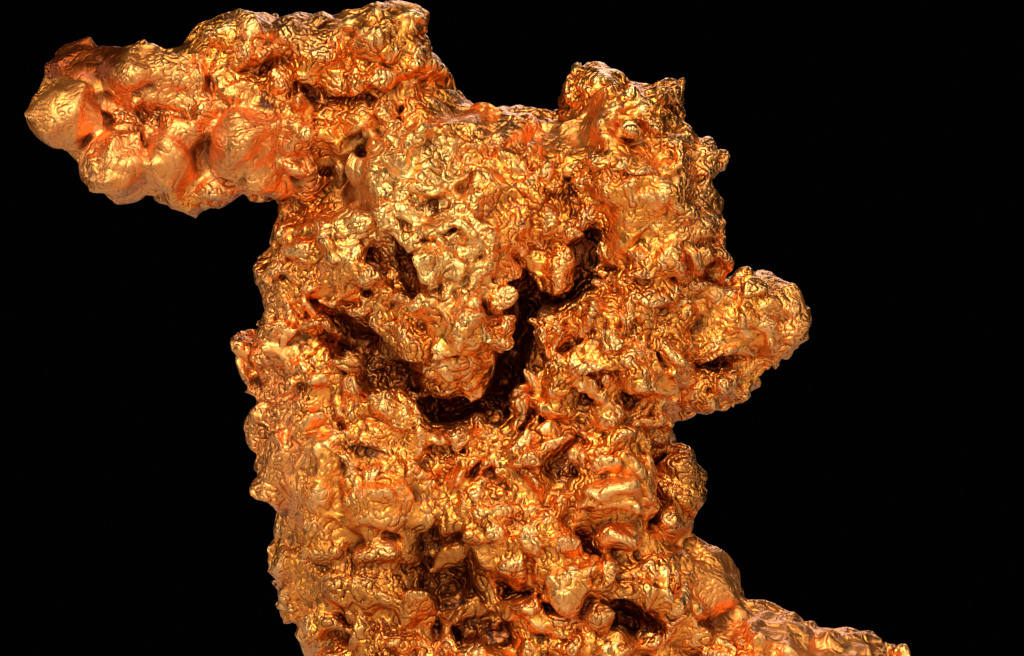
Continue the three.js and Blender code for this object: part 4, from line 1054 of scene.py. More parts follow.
@dataclass
class Skin:
    """A closed sheet of squares around a field.

    Attributes:
        points: Positions in millimetres, one per row.
        squares: Four point numbers per row, facing out.
    """

    points: np.ndarray
    squares: np.ndarray

    @classmethod
    def around(cls, metal: DistanceField) -> "Skin":
        """Wraps a field: one point per crossed cell, one square per crossed edge.

        Args:
            metal: The field, already opened at its walls and its bottom.

        Returns:
            The skin.
        """
        inside = metal.values < 0.0
        counts = np.zeros([size - 1 for size in inside.shape], dtype=np.uint8)
        corners = [(a, b, c) for a in (0, 1) for b in (0, 1) for c in (0, 1)]
        for a, b, c in corners:
            counts += inside[
                a : a + counts.shape[0], b : b + counts.shape[1], c : c + counts.shape[2]
            ]
        cells = np.argwhere((counts > 0) & (counts < 8))
        total = np.zeros((len(cells), 3))
        hits = np.zeros(len(cells))
        for start in corners:
            for axis in range(3):
                if start[axis]:
                    continue
                end = list(start)
                end[axis] = 1
                first = metal.values[tuple((cells + start).T)]
                second = metal.values[tuple((cells + end).T)]
                crossed = (first < 0.0) != (second < 0.0)
                share = np.where(crossed, first / np.where(crossed, first - second, 1.0), 0.0)
                place = cells + np.array(start, dtype=float)
                place[:, axis] += share
                total += place * crossed[:, None]
                hits += crossed
        points = metal.low + total / hits[:, None] * metal.step
        number = np.full(counts.shape, -1, dtype=np.int32)
        number[tuple(cells.T)] = np.arange(len(cells))
        squares = [cls.facing(inside, number, axis) for axis in range(3)]
        return cls(points, np.concatenate(squares))

    @staticmethod
    def facing(inside: np.ndarray, number: np.ndarray, axis: int) -> np.ndarray:
        """Squares across the edges that run along one axis.

        Args:
            inside: Whether each sample is metal.
            number: Point number of each cell.
            axis: The axis.

        Returns:
            Four point numbers per square.
        """
        ahead = np.moveaxis(inside, axis, 0)
        crossed = np.moveaxis(ahead[1:] != ahead[:-1], 0, axis)
        edges = np.argwhere(crossed)
        others = [other for other in range(3) if other != axis]
        usable = (edges[:, others] > 0).all(axis=1)
        usable &= (edges[:, others] < np.array(number.shape)[others]).all(axis=1)
        edges = edges[usable]
        steps = ((-1, -1), (0, -1), (0, 0), (-1, 0))
        if axis == 1:
            steps = steps[::-1]
        columns = []
        for one, other in steps:
            cell = edges.copy()
            cell[:, others[0]] += one
            cell[:, others[1]] += other
            columns.append(number[tuple(cell.T)])
        squares = np.stack(columns, axis=1)
        outward = inside[tuple(edges.T)]
        return np.where(outward[:, None], squares, squares[:, ::-1])

    def largest_sheet(self) -> "Skin":
        """Drops every loose crumb and sealed bubble.

        Returns:
            The outer sheet alone.
        """
        label = np.arange(len(self.points))
        pairs = np.concatenate([self.squares[:, ends] for ends in ([0, 1], [1, 2], [2, 3])])
        while True:
            lowest = label[pairs].min(axis=1)
            before = label.copy()
            np.minimum.at(label, label[pairs[:, 0]], lowest)
            np.minimum.at(label, label[pairs[:, 1]], lowest)
            np.minimum.at(label, pairs[:, 0], lowest)
            np.minimum.at(label, pairs[:, 1], lowest)
            label = label[label]
            if (label == before).all():
                break
        kept = label == np.bincount(label).argmax()
        fresh = np.cumsum(kept) - 1
        squares = self.squares[kept[self.squares[:, 0]]]
        return Skin(self.points[kept], fresh[squares])

    def to_mesh(self, name: str) -> bpy.types.Mesh:
        """Makes a Blender mesh in metres, in the nugget's own frame.

        Args:
            name: Name of the mesh.

        Returns:
            The mesh.
        """
        mesh = bpy.data.meshes.new(name)
        places = (self.points + np.array(ORIGIN_SHIFT)) * METRES_PER_MM
        mesh.vertices.add(len(places))
        mesh.vertices.foreach_set("co", places.astype(np.float32).ravel())
        mesh.loops.add(self.squares.size)
        mesh.loops.foreach_set("vertex_index", self.squares.astype(np.int32).ravel())
        mesh.polygons.add(len(self.squares))
        mesh.polygons.foreach_set("loop_start", np.arange(0, self.squares.size, 4, dtype=np.int32))
        mesh.update(calc_edges=True)
        mesh.validate()
        return mesh


@dataclass(frozen=True)
class NuggetShape:
    """Sizes that turn the tables into metal, in millimetres.

    Attributes:
        mass_blend: How far the masses melt together.
        knob_blend: How far the knobs melt in.
        hollow_blend: How softly the hollows' rims round over.
        lobe_blend: How far the lobes melt in.
        lobe_rise: How strongly the lobes swell out.
        margin: How far around each shape the distances are kept true.
        seed: First state of the number source.
        packed_hollows: How hollows are packed over free skin.
        packed_lobes: How lobes are packed over free skin.
    """

    mass_blend: float = 7.0
    knob_blend: float = 3.0
    hollow_blend: float = 4.0
    lobe_blend: float = 1.3
    lobe_rise: float = 1.5
    margin: float = 7.2
    seed: int = 20417
    packed_hollows: Packing = Packing(
        sizes=((6.5, 70), (4.5, 140)), least=-0.55, spread=0.25, edge=-0.2
    )
    packed_lobes: Packing = Packing(
        sizes=((10.0, 500), (7.0, 900), (5.0, 1500), (3.8, 2400)),
        least=0.5,
        spread=0.25,
        edge=0.3,
    )

    def base(self) -> tuple[DistanceField, list[Ellipsoid]]:
        """The broad masses with their knobs.

        Returns:
            The coarse field and the knobs.
        """
        coarse = DistanceField.empty(FIELD_LOW, FIELD_HIGH, COARSE_STEP)
        for row in MASSES:
            coarse.unite(Ellipsoid.leaning(row), self.mass_blend, FAR)
        knobs = [Ellipsoid.leaning(row) for row in KNOBS]
        for knob in knobs:
            coarse.unite(knob, self.knob_blend, self.margin)
        return coarse, knobs

    def on_face(self, coarse: DistanceField, row: Row) -> Ellipsoid:
        """Sits a lobe on the face.

        Args:
            coarse: The broad masses.
            row: x, z, half width, half height, rise and lean.

        Returns:
            The lobe.
        """
        x, z, half_width, half_height, rise, lean = row
        half_depth = max((half_width + half_height) / 2.0, rise)
        y = coarse.face_depth(x, z) - rise * self.lobe_rise + half_depth
        return Ellipsoid.leaning((x, y, z, half_width, half_depth, half_height, lean))

    def into_face(self, coarse: DistanceField, row: Row) -> Ellipsoid:
        """Presses a hollow into the face.

        Args:
            coarse: The broad masses.
            row: x, z, half width, half height, depth and lean.

        Returns:
            The hollow.
        """
        x, z, half_width, half_height, depth, lean = row
        y = coarse.face_depth(x, z)
        return Ellipsoid.leaning((x, y, z, half_width, depth, half_height, lean))

    def metal(self, factor: int) -> tuple[DistanceField, DistanceField]:
        """The whole nugget before its small relief.

        Args:
            factor: How many fine steps fit in a coarse one.

        Returns:
            The broad masses alone, and the fine field with every lobe.
        """
        coarse, knobs = self.base()
        hollows = [self.into_face(coarse, row) for row in HOLLOWS]
        lobes = [self.on_face(coarse, row) for row in LOBES]
        source = NumberSource(self.seed)
        hollows += self.packed_hollows.place(coarse, source, knobs + hollows + lobes)
        lobes += self.packed_lobes.place(coarse, source, hollows + lobes)
        fine = coarse.refined(factor)
        for hollow in hollows:
            fine.cut(hollow, self.hollow_blend, self.margin)
        for lobe in lobes:
            fine.unite(lobe, self.lobe_blend, self.margin)
        LOG.info("field: %d hollows and %d lobes", len(hollows), len(lobes))
        return coarse, fine


class Backs(Enum):
    """How the round backs of one layer of the skin are made."""

    BEADS = "beads"
    FOLDS = "folds"


@dataclass(frozen=True)
class SkinLayer:
    """One scale of unevenness of the skin.

    Attributes:
        backs: Beads, or folds that wind about.
        size: Distance from one back to the next in millimetres.
        height: How far it moves the skin.
        bend: How far its pattern is bent, as a share of the size.
        calmed: How far calm places lose it, from 0 to 1.
    """

    # Bends and folds are this many times as long as a back
    BEND_LENGTH = 2.2
    FOLD_LENGTH = 1.4
    # Where the wave levels off, and its height that leaves the skin in place
    FOLD_TOP = 1.6
    FOLD_MIDDLE = 0.7

    backs: Backs
    size: float
    height: float
    bend: float
    calmed: float

    def lift(self, points: np.ndarray, random: np.random.Generator) -> np.ndarray:
        """How far the layer lifts the skin at some points.

        Args:
            points: Positions, one per row.
            random: Seeded source of the pattern.

        Returns:
            One height per point in millimetres.
        """
        bends = [WaveNoise(self.BEND_LENGTH * self.size, random).at(points) for _ in range(3)]
        bent = points + self.bend * self.size * np.stack(bends, axis=1)
        if self.backs is Backs.BEADS:
            return self.height * BeadNoise(self.size, random).at(bent)
        wave = np.abs(WaveNoise(self.FOLD_LENGTH * self.size, random).at(bent))
        return self.height * (np.minimum(wave, self.FOLD_TOP) - self.FOLD_MIDDLE)


# A zone holds fully inside half its size and is gone at this many times its size
ZONE_RIM = 1.5


@dataclass(frozen=True)
class Zone:
    """A place on the face where the skin or its colour is not as elsewhere.

    Attributes:
        x: Middle along X.
        z: Middle along Z.
        half_width: Half its width.
        half_height: Half its height.
        lean: Turn in degrees.
        strength: How strongly it holds; less than 0 for the opposite.
        depth: How deep behind the face it reaches.
    """

    x: float
    z: float
    half_width: float
    half_height: float
    lean: float
    strength: float
    depth: float = 16.0

    def share(self, metal_face: float, points: np.ndarray) -> np.ndarray:
        """How strongly the zone holds at some points.

        Args:
            metal_face: Depth of the face at its middle.
            points: Positions, one per row.

        Returns:
            One number from 0 to 1 per point.
        """
        angle = math.radians(self.lean)
        dx = points[:, 0] - self.x
        dz = points[:, 2] - self.z
        along = (dx * math.cos(angle) + dz * math.sin(angle)) / self.half_width
        up = (dz * math.cos(angle) - dx * math.sin(angle)) / self.half_height
        deep = (points[:, 1] - metal_face) / self.depth
        inside = np.clip(ZONE_RIM - np.sqrt(along**2 + up**2 + deep**2), 0.0, 1.0)
        return inside * inside * (3.0 - 2.0 * inside)


@dataclass(frozen=True)
class Change:
    """How the unevenness grows and fades over the whole nugget.

    Attributes:
        wavelength: Distance from one rough place to the next in millimetres.
        band: Spread of the wavelengths, as a share.
        mean: Usual strength of the unevenness.
        swing: How far the strength changes.
        most: Greatest strength.
        shell: How far to either side of the surface the skin is changed, in millimetres.
    """

    wavelength: float = 45.0
    band: float = 0.5
    mean: float = 0.75
    swing: float = 0.35
    most: float = 1.5
    shell: float = 2.4


class Drift:
    """A gentle push of the whole skin, so that no lump stays a plain ellipsoid."""

    # Rounds of correction that find where a pushed point came from
    ROUNDS = 3

    def __init__(self, waves: tuple[Range, ...], random: np.random.Generator) -> None:
        """Draws the pushes.

        Args:
            waves: Pairs of wavelength and height in millimetres.
            random: Seeded source of the pushes.
        """
        self.waves = [
            [(height, WaveNoise(wavelength, random)) for wavelength, height in waves]
            for _ in range(3)
        ]

    def pushed(self, points: np.ndarray) -> np.ndarray:
        """Pushes points, and leaves the resting face flat.

        Args:
            points: Positions, one per row.

        Returns:
            The new positions.
        """
        push = np.stack(
            [sum(height * wave.at(points) for height, wave in waves) for waves in self.waves],
            axis=1,
        )
        push[:, 2] *= np.clip(points[:, 2] / GROUND_FADE, 0.0, 1.0)
        return points + push

    def undone(self, points: np.ndarray) -> np.ndarray:
        """Finds where pushed points came from.

        Args:
            points: Pushed positions, one per row.

        Returns:
            The positions before the push.
        """
        start = points
        for _ in range(self.ROUNDS):
            start = start + points - self.pushed(start)
        return start


@dataclass(frozen=True)
class NoiseMask:
    """Places where a soft noise lets something show.

    Attributes:
        scale: Turns of the noise per metre.
        detail: Finer noises on top of it.
        warp: How far its pattern winds.
        none: Noise that gives none of it.
        full: Noise that gives all of it.
    """

    scale: float
    detail: float
    warp: float
    none: float
    full: float


@dataclass(frozen=True)
class SkinPattern:
    """Pattern of the fine skin.  A range holds what gives none and all of something.

    Attributes:
        warp: How far the folds wind.
        dense_ratio: How much denser the folds are where they crowd.
        fine_ratio: How much denser the small folds are.
        fine_share: Height of the small folds next to the large ones.
        calming: How far calm places lose the folds.
        back: Range over which a fold's back rises out of its crease.
        crease: Range of the painted shade line in a crease.
        fine_crease: Range of the painted shade line in a small crease.
        fine_crease_share: Strength of that line.
        grain_detail: Finer noises on top of the grain.
        grain_warp: How far the grain winds.
        grain_height: Height of the grain in millimetres.
        coming: Where the folds come and go.
        crowding: Where the folds crowd.
        patches: Where the gold is redder.
        dull: Where the gold is duller.
    """

    warp: float = 0.3
    dense_ratio: float = 1.5
    fine_ratio: float = 2.3
    fine_share: float = 0.3
    calming: float = 0.65
    back: Range = (-0.2, 0.2)
    crease: Range = (0.035, 0.0)
    fine_crease: Range = (0.04, 0.0)
    fine_crease_share: float = 0.4
    grain_detail: float = 3.0
    grain_warp: float = 0.4
    grain_height: float = 0.07
    # Scale, detail, warp, none and full
    coming: NoiseMask = NoiseMask(95.0, 2.0, 0.2, 0.2, 0.55)
    crowding: NoiseMask = NoiseMask(60.0, 1.0, 0.2, 0.42, 0.58)
    patches: NoiseMask = NoiseMask(28.0, 3.0, 0.6, 0.48, 0.66)
    dull: NoiseMask = NoiseMask(170.0, 3.0, 0.3, 0.35, 0.75)


@dataclass(frozen=True)
class GoldFinish:
    """Native gold: molten-looking, with a painted highlight on the crests and painted shade,
    red-brown, in creases and hollows.

    Attributes:
        painted_crest_highlight: Colour painted on the convex crests as a highlight.
        pale: Paler gold painted on the chest as the light that falls brightest there.
        body: Colour of most of the skin.
        crease: Colour of the painted shade in creases and hollows.
        patch: Colour of the redder patches.
        copper: Colour of the outer lobes.
        painted_shade_patch: Colour of the patches of painted shade.
        darkest_painted_shade: Colour of the darkest painted shade, where the patches are strongest.
        painted_hollow_shade: Colour of the painted shade deep down in the hollows.
        smooth: Roughness of the smoothest places.
        rough: Roughness of the dullest places.
        dullest: Dullness that gives the highest roughness.
        coat: Strength of the thin clear sheen.
        coat_roughness: Roughness of the sheen.
        fold_mm: Width of the fine folds.
        grain_mm: Size of the finest grain.
        fold_height_mm: Height of the fine folds.
        pattern: Pattern of the fine skin.
    """

    painted_crest_highlight: Colour = (1.0, 0.45, 0.12, 1.0)
    pale: Colour = (1.0, 0.485, 0.12, 1.0)
    body: Colour = (0.97, 0.31, 0.040, 1.0)
    crease: Colour = (0.17, 0.046, 0.007, 1.0)
    patch: Colour = (0.92, 0.29, 0.04, 1.0)
    copper: Colour = (0.93, 0.33, 0.075, 1.0)
    painted_shade_patch: Colour = (0.58, 0.19, 0.028, 1.0)
    darkest_painted_shade: Colour = (0.26, 0.045, 0.006, 1.0)
    painted_hollow_shade: Colour = (0.15, 0.030, 0.004, 1.0)
    smooth: float = 0.30
    rough: float = 0.55
    dullest: float = 2.0
    coat: float = 0.07
    coat_roughness: float = 0.2
    fold_mm: float = 3.4
    grain_mm: float = 0.8
    fold_height_mm: float = 1.0
    pattern: SkinPattern = SkinPattern()

    def material(self) -> bpy.types.Material:
        """Builds the gold.

        Returns:
            The material.
        """
        material = bpy.data.materials.new("native_gold")
        material.use_nodes = True
        tree = material.node_tree
        shader = tree.nodes["Principled BSDF"]
        shader.inputs["Metallic"].default_value = 1.0
        shader.inputs["Coat Weight"].default_value = self.coat
        shader.inputs["Coat Roughness"].default_value = self.coat_roughness
        skin = tree.nodes.new("ShaderNodeGroup")
        skin.node_tree = molten_skin_group(self.pattern)
        skin.inputs["Fold Scale"].default_value = 1.0 / (self.fold_mm * METRES_PER_MM)
        skin.inputs["Grain Scale"].default_value = 1.0 / (self.grain_mm * METRES_PER_MM)
        skin.inputs["Fold Height"].default_value = self.fold_height_mm
        tree.links.new(attribute_node(tree, "calm"), skin.inputs["Calm"])
        colour = self.colour(tree, skin.outputs["Patch"], skin.outputs["Crease"])
        tree.links.new(colour, shader.inputs["Base Color"])
        gloss = tree.nodes.new("ShaderNodeMapRange")
        gloss.inputs["To Min"].default_value = self.smooth
        gloss.inputs["From Max"].default_value = self.dullest
        gloss.inputs["To Max"].default_value = self.rough
        tree.links.new(skin.outputs["Dullness"], gloss.inputs["Value"])
        tree.links.new(gloss.outputs["Result"], shader.inputs["Roughness"])
        bump = tree.nodes.new("ShaderNodeBump")
        bump.inputs["Strength"].default_value = 1.0
        bump.inputs["Distance"].default_value = METRES_PER_MM
        tree.links.new(skin.outputs["Height"], bump.inputs["Height"])
        tree.links.new(bump.outputs["Normal"], shader.inputs["Normal"])
        return material

    def colour(
        self,
        tree: bpy.types.NodeTree,
        patches: bpy.types.NodeSocket,
        creases: bpy.types.NodeSocket,
    ) -> bpy.types.NodeSocket:
        """Lays the colours over one another, painted highlight and painted shade among them.

        Args:
            tree: The material's node tree.
            patches: Where the redder patches are.
            creases: Where painted shade lines run in the creases between the fine folds.

        Returns:
            The socket with the colour.
        """
        near, wide, broad, copper, painted_shade_patch = (
            attribute_node(tree, name) for name in ("near", "wide", "broad", "copper", "painted_shade_patch")
        )
        # Each share grows between a mark's value that gives none and one that gives all
        shares = (
            # Painted highlight: a yellower gold on the convex crests, where the near mark is below
            # 0
            (ramped(tree, near, -0.03, -0.16), self.painted_crest_highlight),
            # Painted light: where the copper mark is below 0, the chest is painted a paler gold as
            # if brightly lit
            (ramped(tree, copper, 0.0, -0.8), self.pale),
            (ramped(tree, copper, 0.0, 1.0), self.copper),
            # Painted shade: darker patches, darkest where they are strongest
            (ramped(tree, painted_shade_patch, 0.0, 0.5), self.painted_shade_patch),
            (ramped(tree, painted_shade_patch, 0.5, 1.0), self.darkest_painted_shade),
            # Painted shade: the crease colour in small hollows, along the fine fold creases and in
            # broad hollows
            (ramped(tree, near, 0.05, 0.28), self.crease),
            (creases, self.crease),
            (ramped(tree, broad, 0.02, 0.30), self.crease),
            # Painted shade deep down in the wide hollows
            (ramped(tree, wide, 0.06, 0.32), self.painted_hollow_shade),
        )
        colour = mixed(tree, patches, self.body, self.patch)
        for share, tone in shares:
            colour = mixed(tree, share, colour, tone)
        return colour


def attribute_node(tree: bpy.types.NodeTree, name: str) -> bpy.types.NodeSocket:
    """Reads one number per point that the mesh carries.

    Args:
        tree: The node tree.
        name: Name of the attribute.

    Returns:
        The socket with the number.
    """
    node = tree.nodes.new("ShaderNodeAttribute")
    node.attribute_name = name
    return node.outputs["Fac"]


def ramped(
    tree: bpy.types.NodeTree, value: bpy.types.NodeSocket, none: float, full: float
) -> bpy.types.NodeSocket:
    """Turns a value into a share that grows softly from 0 to 1.

    Args:
        tree: The node tree.
        value: The value.
        none: Value that gives 0.
        full: Value that gives 1.

    Returns:
        The socket with the share.
    """
    node = tree.nodes.new("ShaderNodeMapRange")
    node.interpolation_type = "SMOOTHSTEP"
    node.inputs["From Min"].default_value = none
    node.inputs["From Max"].default_value = full
    tree.links.new(value, node.inputs["Value"])
    return node.outputs["Result"]


def mixed(
    tree: bpy.types.NodeTree,
    share: bpy.types.NodeSocket,
    first: bpy.types.NodeSocket | Colour,
    second: Colour,
) -> bpy.types.NodeSocket:
    """Mixes two colours by a share.

    Args:
        tree: The node tree.
        share: How much of the second colour shows.
        first: A colour or a socket that gives one.
        second: A colour.

    Returns:
        The socket with the mixed colour.
    """
    node = tree.nodes.new("ShaderNodeMix")
    node.data_type = "RGBA"
    tree.links.new(share, node.inputs["Factor"])
    under, over = (socket for socket in node.inputs if socket.type == "RGBA")
    if isinstance(first, tuple):
        under.default_value = first
    else:
        tree.links.new(first, under)
    over.default_value = second
    return next(socket for socket in node.outputs if socket.type == "RGBA")


def calculated(
    tree: bpy.types.NodeTree,
    operation: str,
    first: bpy.types.NodeSocket,
    second: bpy.types.NodeSocket | float,
    third: bpy.types.NodeSocket | float | None = None,
) -> bpy.types.NodeSocket:
    """Adds a math node.

    Args:
        tree: The node tree.
        operation: Name of the operation.
        first: First value.
        second: Second value.
        third: Third value, where the operation has one.

    Returns:
        The socket with the result.
    """
    node = tree.nodes.new("ShaderNodeMath")
    node.operation = operation
    for socket, value in zip(node.inputs, (first, second, third)):
        if isinstance(value, float):
            socket.default_value = value
        elif value is not None:
            tree.links.new(value, socket)
    return node.outputs[0]


def molten_skin_group(pattern: SkinPattern) -> bpy.types.NodeTree:
    """The fine skin of once molten metal: winding folds, grain, painted shade lines in the creases,
    patches and dullness.

    Args:
        pattern: The numbers behind it.

    Returns:
        The node group with its named sockets.
    """
    group = bpy.data.node_groups.new("molten_skin", "ShaderNodeTree")
    for name in ("Fold Scale", "Grain Scale", "Fold Height", "Calm"):
        group.interface.new_socket(name, in_out="INPUT", socket_type="NodeSocketFloat")
    for name in ("Height", "Crease", "Patch", "Dullness"):
        group.interface.new_socket(name, in_out="OUTPUT", socket_type="NodeSocketFloat")
    nodes = group.nodes
    given = nodes.new("NodeGroupInput").outputs
    result = nodes.new("NodeGroupOutput").inputs
    place = nodes.new("ShaderNodeTexCoord").outputs["Object"]

    def noise(
        scale: bpy.types.NodeSocket | float, detail: float, warp: float
    ) -> bpy.types.NodeSocket:
        """Adds a noise texture at the object's own coordinates.

        Args:
            scale: Turns per metre.
            detail: Finer noises on top of it.
            warp: How far its pattern winds.

        Returns:
            The socket with the noise.
        """
        node = nodes.new("ShaderNodeTexNoise")
        group.links.new(place, node.inputs["Vector"])
        node.inputs["Detail"].default_value = detail
        node.inputs["Distortion"].default_value = warp
        if isinstance(scale, float):
            node.inputs["Scale"].default_value = scale
        else:
            group.links.new(scale, node.inputs["Scale"])
        return node.outputs["Fac"]

    def masked(mask: NoiseMask) -> bpy.types.NodeSocket:
        """Grows softly from 0 to 1 over a mask's range of its noise."""
        return ramped(group, noise(mask.scale, mask.detail, mask.warp), mask.none, mask.full)

    def product(
        first: bpy.types.NodeSocket, second: bpy.types.NodeSocket | float
    ) -> bpy.types.NodeSocket:
        """Multiplies two values."""
        return calculated(group, "MULTIPLY", first, second)

    def folded(scale: bpy.types.NodeSocket) -> bpy.types.NodeSocket:
        """Folds a wave at its middle, so that round backs meet in sharp creases."""
        half = calculated(group, "SUBTRACT", noise(scale, 0.0, pattern.warp), 0.5)
        return calculated(group, "ABSOLUTE", half, 0.0)

    usual = given["Fold Scale"]
    lively = calculated(group, "MULTIPLY_ADD", given["Calm"], -pattern.calming, 1.0)
    lively = product(lively, masked(pattern.coming))
    coarse = folded(usual)
    dense = folded(product(usual, pattern.dense_ratio))
    change = calculated(group, "SUBTRACT", dense, coarse)
    large = calculated(group, "MULTIPLY_ADD", change, masked(pattern.crowding), coarse)
    small = folded(product(usual, pattern.fine_ratio))
    small_rise = product(ramped(group, small, *pattern.back), pattern.fine_share)
    rise = calculated(group, "ADD", ramped(group, large, *pattern.back), small_rise)
    rise = product(product(rise, given["Fold Height"]), lively)
    grain = noise(given["Grain Scale"], pattern.grain_detail, pattern.grain_warp)
    height = calculated(group, "ADD", rise, product(grain, pattern.grain_height))
    group.links.new(height, result["Height"])
    # Painted shade: dark lines along the creases of the folds, given out as Crease
    lines = product(ramped(group, small, *pattern.fine_crease), pattern.fine_crease_share)
    lines = calculated(group, "MAXIMUM", ramped(group, large, *pattern.crease), lines)
    group.links.new(product(lines, lively), result["Crease"])
    group.links.new(masked(pattern.patches), result["Patch"])
    calm = calculated(group, "MAXIMUM", given["Calm"], 0.0)
    group.links.new(calculated(group, "ADD", masked(pattern.dull), calm), result["Dullness"])
    return group


@dataclass
class Nugget:
    """The nugget itself: one closed piece of gold.

    Attributes:
        shape: Sizes of the broad shape.
        finish: Look of the metal.
        fine_factor: Fine steps in a coarse step.
        quick_factor: A smaller number of fine steps in a coarse step; not used.
        face_limit: Most triangles of the finished mesh.
        drift: Pairs of wavelength and height of the push that bends every lump.
        seed: Seed of the small relief.
        change: How the unevenness grows and fades.
        clearing: How strongly calm places are cleared of small features.
        windows: Name, passes and half width of each mark of how much metal lies around.
        features: Families of small features, in the order they are strewn.
        layers: Scales of unevenness.
        calm_zones: Where the skin is calmer, or rougher below 0.
        copper_and_painted_light_zones: Where the gold is more coppery; below 0, where light is
            painted on as a paler gold.
        painted_shade_zones: Where patches of shade are painted.
    """

    # Points below this share of a step lie on the resting face
    ON_GROUND = 0.999

    shape: NuggetShape = field(default_factory=NuggetShape)
    finish: GoldFinish = field(default_factory=GoldFinish)
    fine_factor: int = 4
    quick_factor: int = 3
    face_limit: int = 194000
    drift: tuple[Range, ...] = ((18.0, 0.9), (8.0, 0.4))
    seed: int = 7351
    change: Change = Change()
    clearing: float = 1.4
    windows: tuple[tuple[str, int, int], ...] = (("near", 2, 1), ("wide", 3, 4), ("broad", 3, 9))
    # Relief, count, radius, stretch, rise and blend
    features: tuple[SkinFeature, ...] = (
        SkinFeature(Relief.RAISED, 500, (1.6, 2.6), (1.0, 2.4), (0.2, 0.5), 0.6),
        SkinFeature(Relief.RAISED, 1800, (1.0, 1.6), (1.0, 3.0), (0.3, 0.7), 0.4),
        SkinFeature(Relief.SUNK, 400, (0.8, 1.4), (1.0, 2.4), (0.1, 0.5), 0.4),
    )
    # Kind of backs, size, height, bend and how far calm places lose it
    layers: tuple[SkinLayer, ...] = (
        SkinLayer(Backs.FOLDS, 8.0, 0.5, 0.2, 0.8),
        SkinLayer(Backs.BEADS, 7.0, 0.45, 0.3, 0.9),
        SkinLayer(Backs.BEADS, 4.0, 0.25, 0.3, 1.0),
    )
    # Middle x and z, half width, half height, lean, strength and sometimes depth
    calm_zones: tuple[Zone, ...] = (
        Zone(-121.5, 187.6, 12.0, 11.0, 0.0, 0.9),
        Zone(-96.3, 173.6, 18.0, 10.0, 0.0, 0.9),
        Zone(-102.0, 197.4, 15.0, 9.0, 0.0, 0.6),
        Zone(-68.3, 176.4, 15.0, 13.0, 0.0, 0.8),
        Zone(-38.9, 173.6, 9.0, 14.0, 0.0, 0.8),
        Zone(74.5, 47.6, 40.0, 12.0, -35.0, 0.8),
        Zone(41.0, 166.0, 9.0, 10.0, 0.0, 0.5),
        Zone(24.0, 184.0, 12.0, 6.0, 30.0, 0.7),
        Zone(-6.7, 189.0, 8.0, 5.0, 0.0, 0.7),
        Zone(86.0, 131.6, 5.0, 12.0, 0.0, 0.4),
        Zone(-117.0, 203.5, 12.0, 7.0, 0.0, 0.8),
        Zone(-54.0, 84.0, 14.0, 26.0, 0.0, 0.35),
        Zone(32.5, 81.0, 12.0, 10.0, 0.0, 0.6),
        Zone(-32.0, 75.6, 14.0, 10.0, 0.0, 0.4),
        Zone(-7.0, 59.0, 10.0, 10.0, 0.0, 0.3),
        Zone(-15.0, 168.0, 14.0, 12.0, 0.0, -0.1),
        Zone(-35.0, 147.0, 12.0, 10.0, 0.0, -0.1),
        Zone(-63.0, 115.0, 10.0, 9.0, 0.0, -0.4),
        Zone(43.7, 190.0, 10.0, 9.0, 0.0, -0.4),
        Zone(18.0, 160.0, 10.0, 12.0, 0.0, -0.6),
        Zone(35.0, 118.0, 20.0, 15.0, 0.0, -0.4),
    )
    copper_and_painted_light_zones: tuple[Zone, ...] = (
        Zone(-96.0, 185.0, 30.0, 20.0, 0.0, 0.9, 40.0),
        Zone(-63.0, 176.0, 14.0, 14.0, 0.0, 0.7, 30.0),
        Zone(-57.0, 211.0, 16.0, 8.0, 0.0, 0.7, 30.0),
        Zone(-64.0, 106.0, 12.0, 40.0, 0.0, 0.7, 40.0),
        Zone(58.0, 162.0, 10.0, 25.0, 0.0, 0.6, 30.0),
        Zone(7.0, 185.0, 25.0, 8.0, 0.0, 0.6, 30.0),
        Zone(84.0, 129.0, 8.0, 16.0, 0.0, 0.6, 30.0),
        Zone(86.0, 45.0, 40.0, 14.0, -25.0, 0.7, 30.0),
        # Below 0: painted light, a paler gold over the brightly lit chest
        Zone(-26.0, 168.0, 20.0, 22.0, 0.0, -0.9, 30.0),
        Zone(-12.0, 146.0, 14.0, 14.0, 0.0, -0.6, 30.0),
    )
    painted_shade_zones: tuple[Zone, ...] = (
        # Painted shade: darker patches in valleys and recesses and over the lower face, darkest in
        # the cup at the left arm's tip
        Zone(-37.5, 53.0, 22.0, 22.0, 0.0, 0.3),
        Zone(-11.0, 60.0, 9.0, 18.0, 25.0, 0.55),
        Zone(-33.0, 119.0, 18.0, 8.0, -38.0, 0.35),
        Zone(53.5, 81.0, 6.0, 12.0, 0.0, 0.45),
        Zone(35.0, 50.0, 14.0, 10.0, 0.0, 0.25),
        Zone(-117.0, 203.5, 12.0, 7.0, 0.0, 1.4, 40.0),
    )

    @staticmethod
    def spread(zones: tuple[Zone, ...], base: DistanceField, points: np.ndarray) -> np.ndarray:
        """How strongly a set of zones holds at some points.

        Args:
            zones: The zones.
            base: The broad masses.
            points: Positions, one per row.

        Returns:
            One number from -1 to 1 per point.
        """
        total = np.zeros(len(points))
        for zone in zones:
            total += zone.strength * zone.share(base.face_depth(zone.x, zone.z), points)
        return np.clip(total, -1.0, 1.0)

    def calm(self, base: DistanceField, points: np.ndarray) -> np.ndarray:
        """How calm the skin is at some points.

        Args:
            base: The broad masses.
            points: Positions, one per row.

        Returns:
            One number per point: 1 for calm, 0 for usual and less for rough.
        """
        return self.spread(self.calm_zones, base, points)

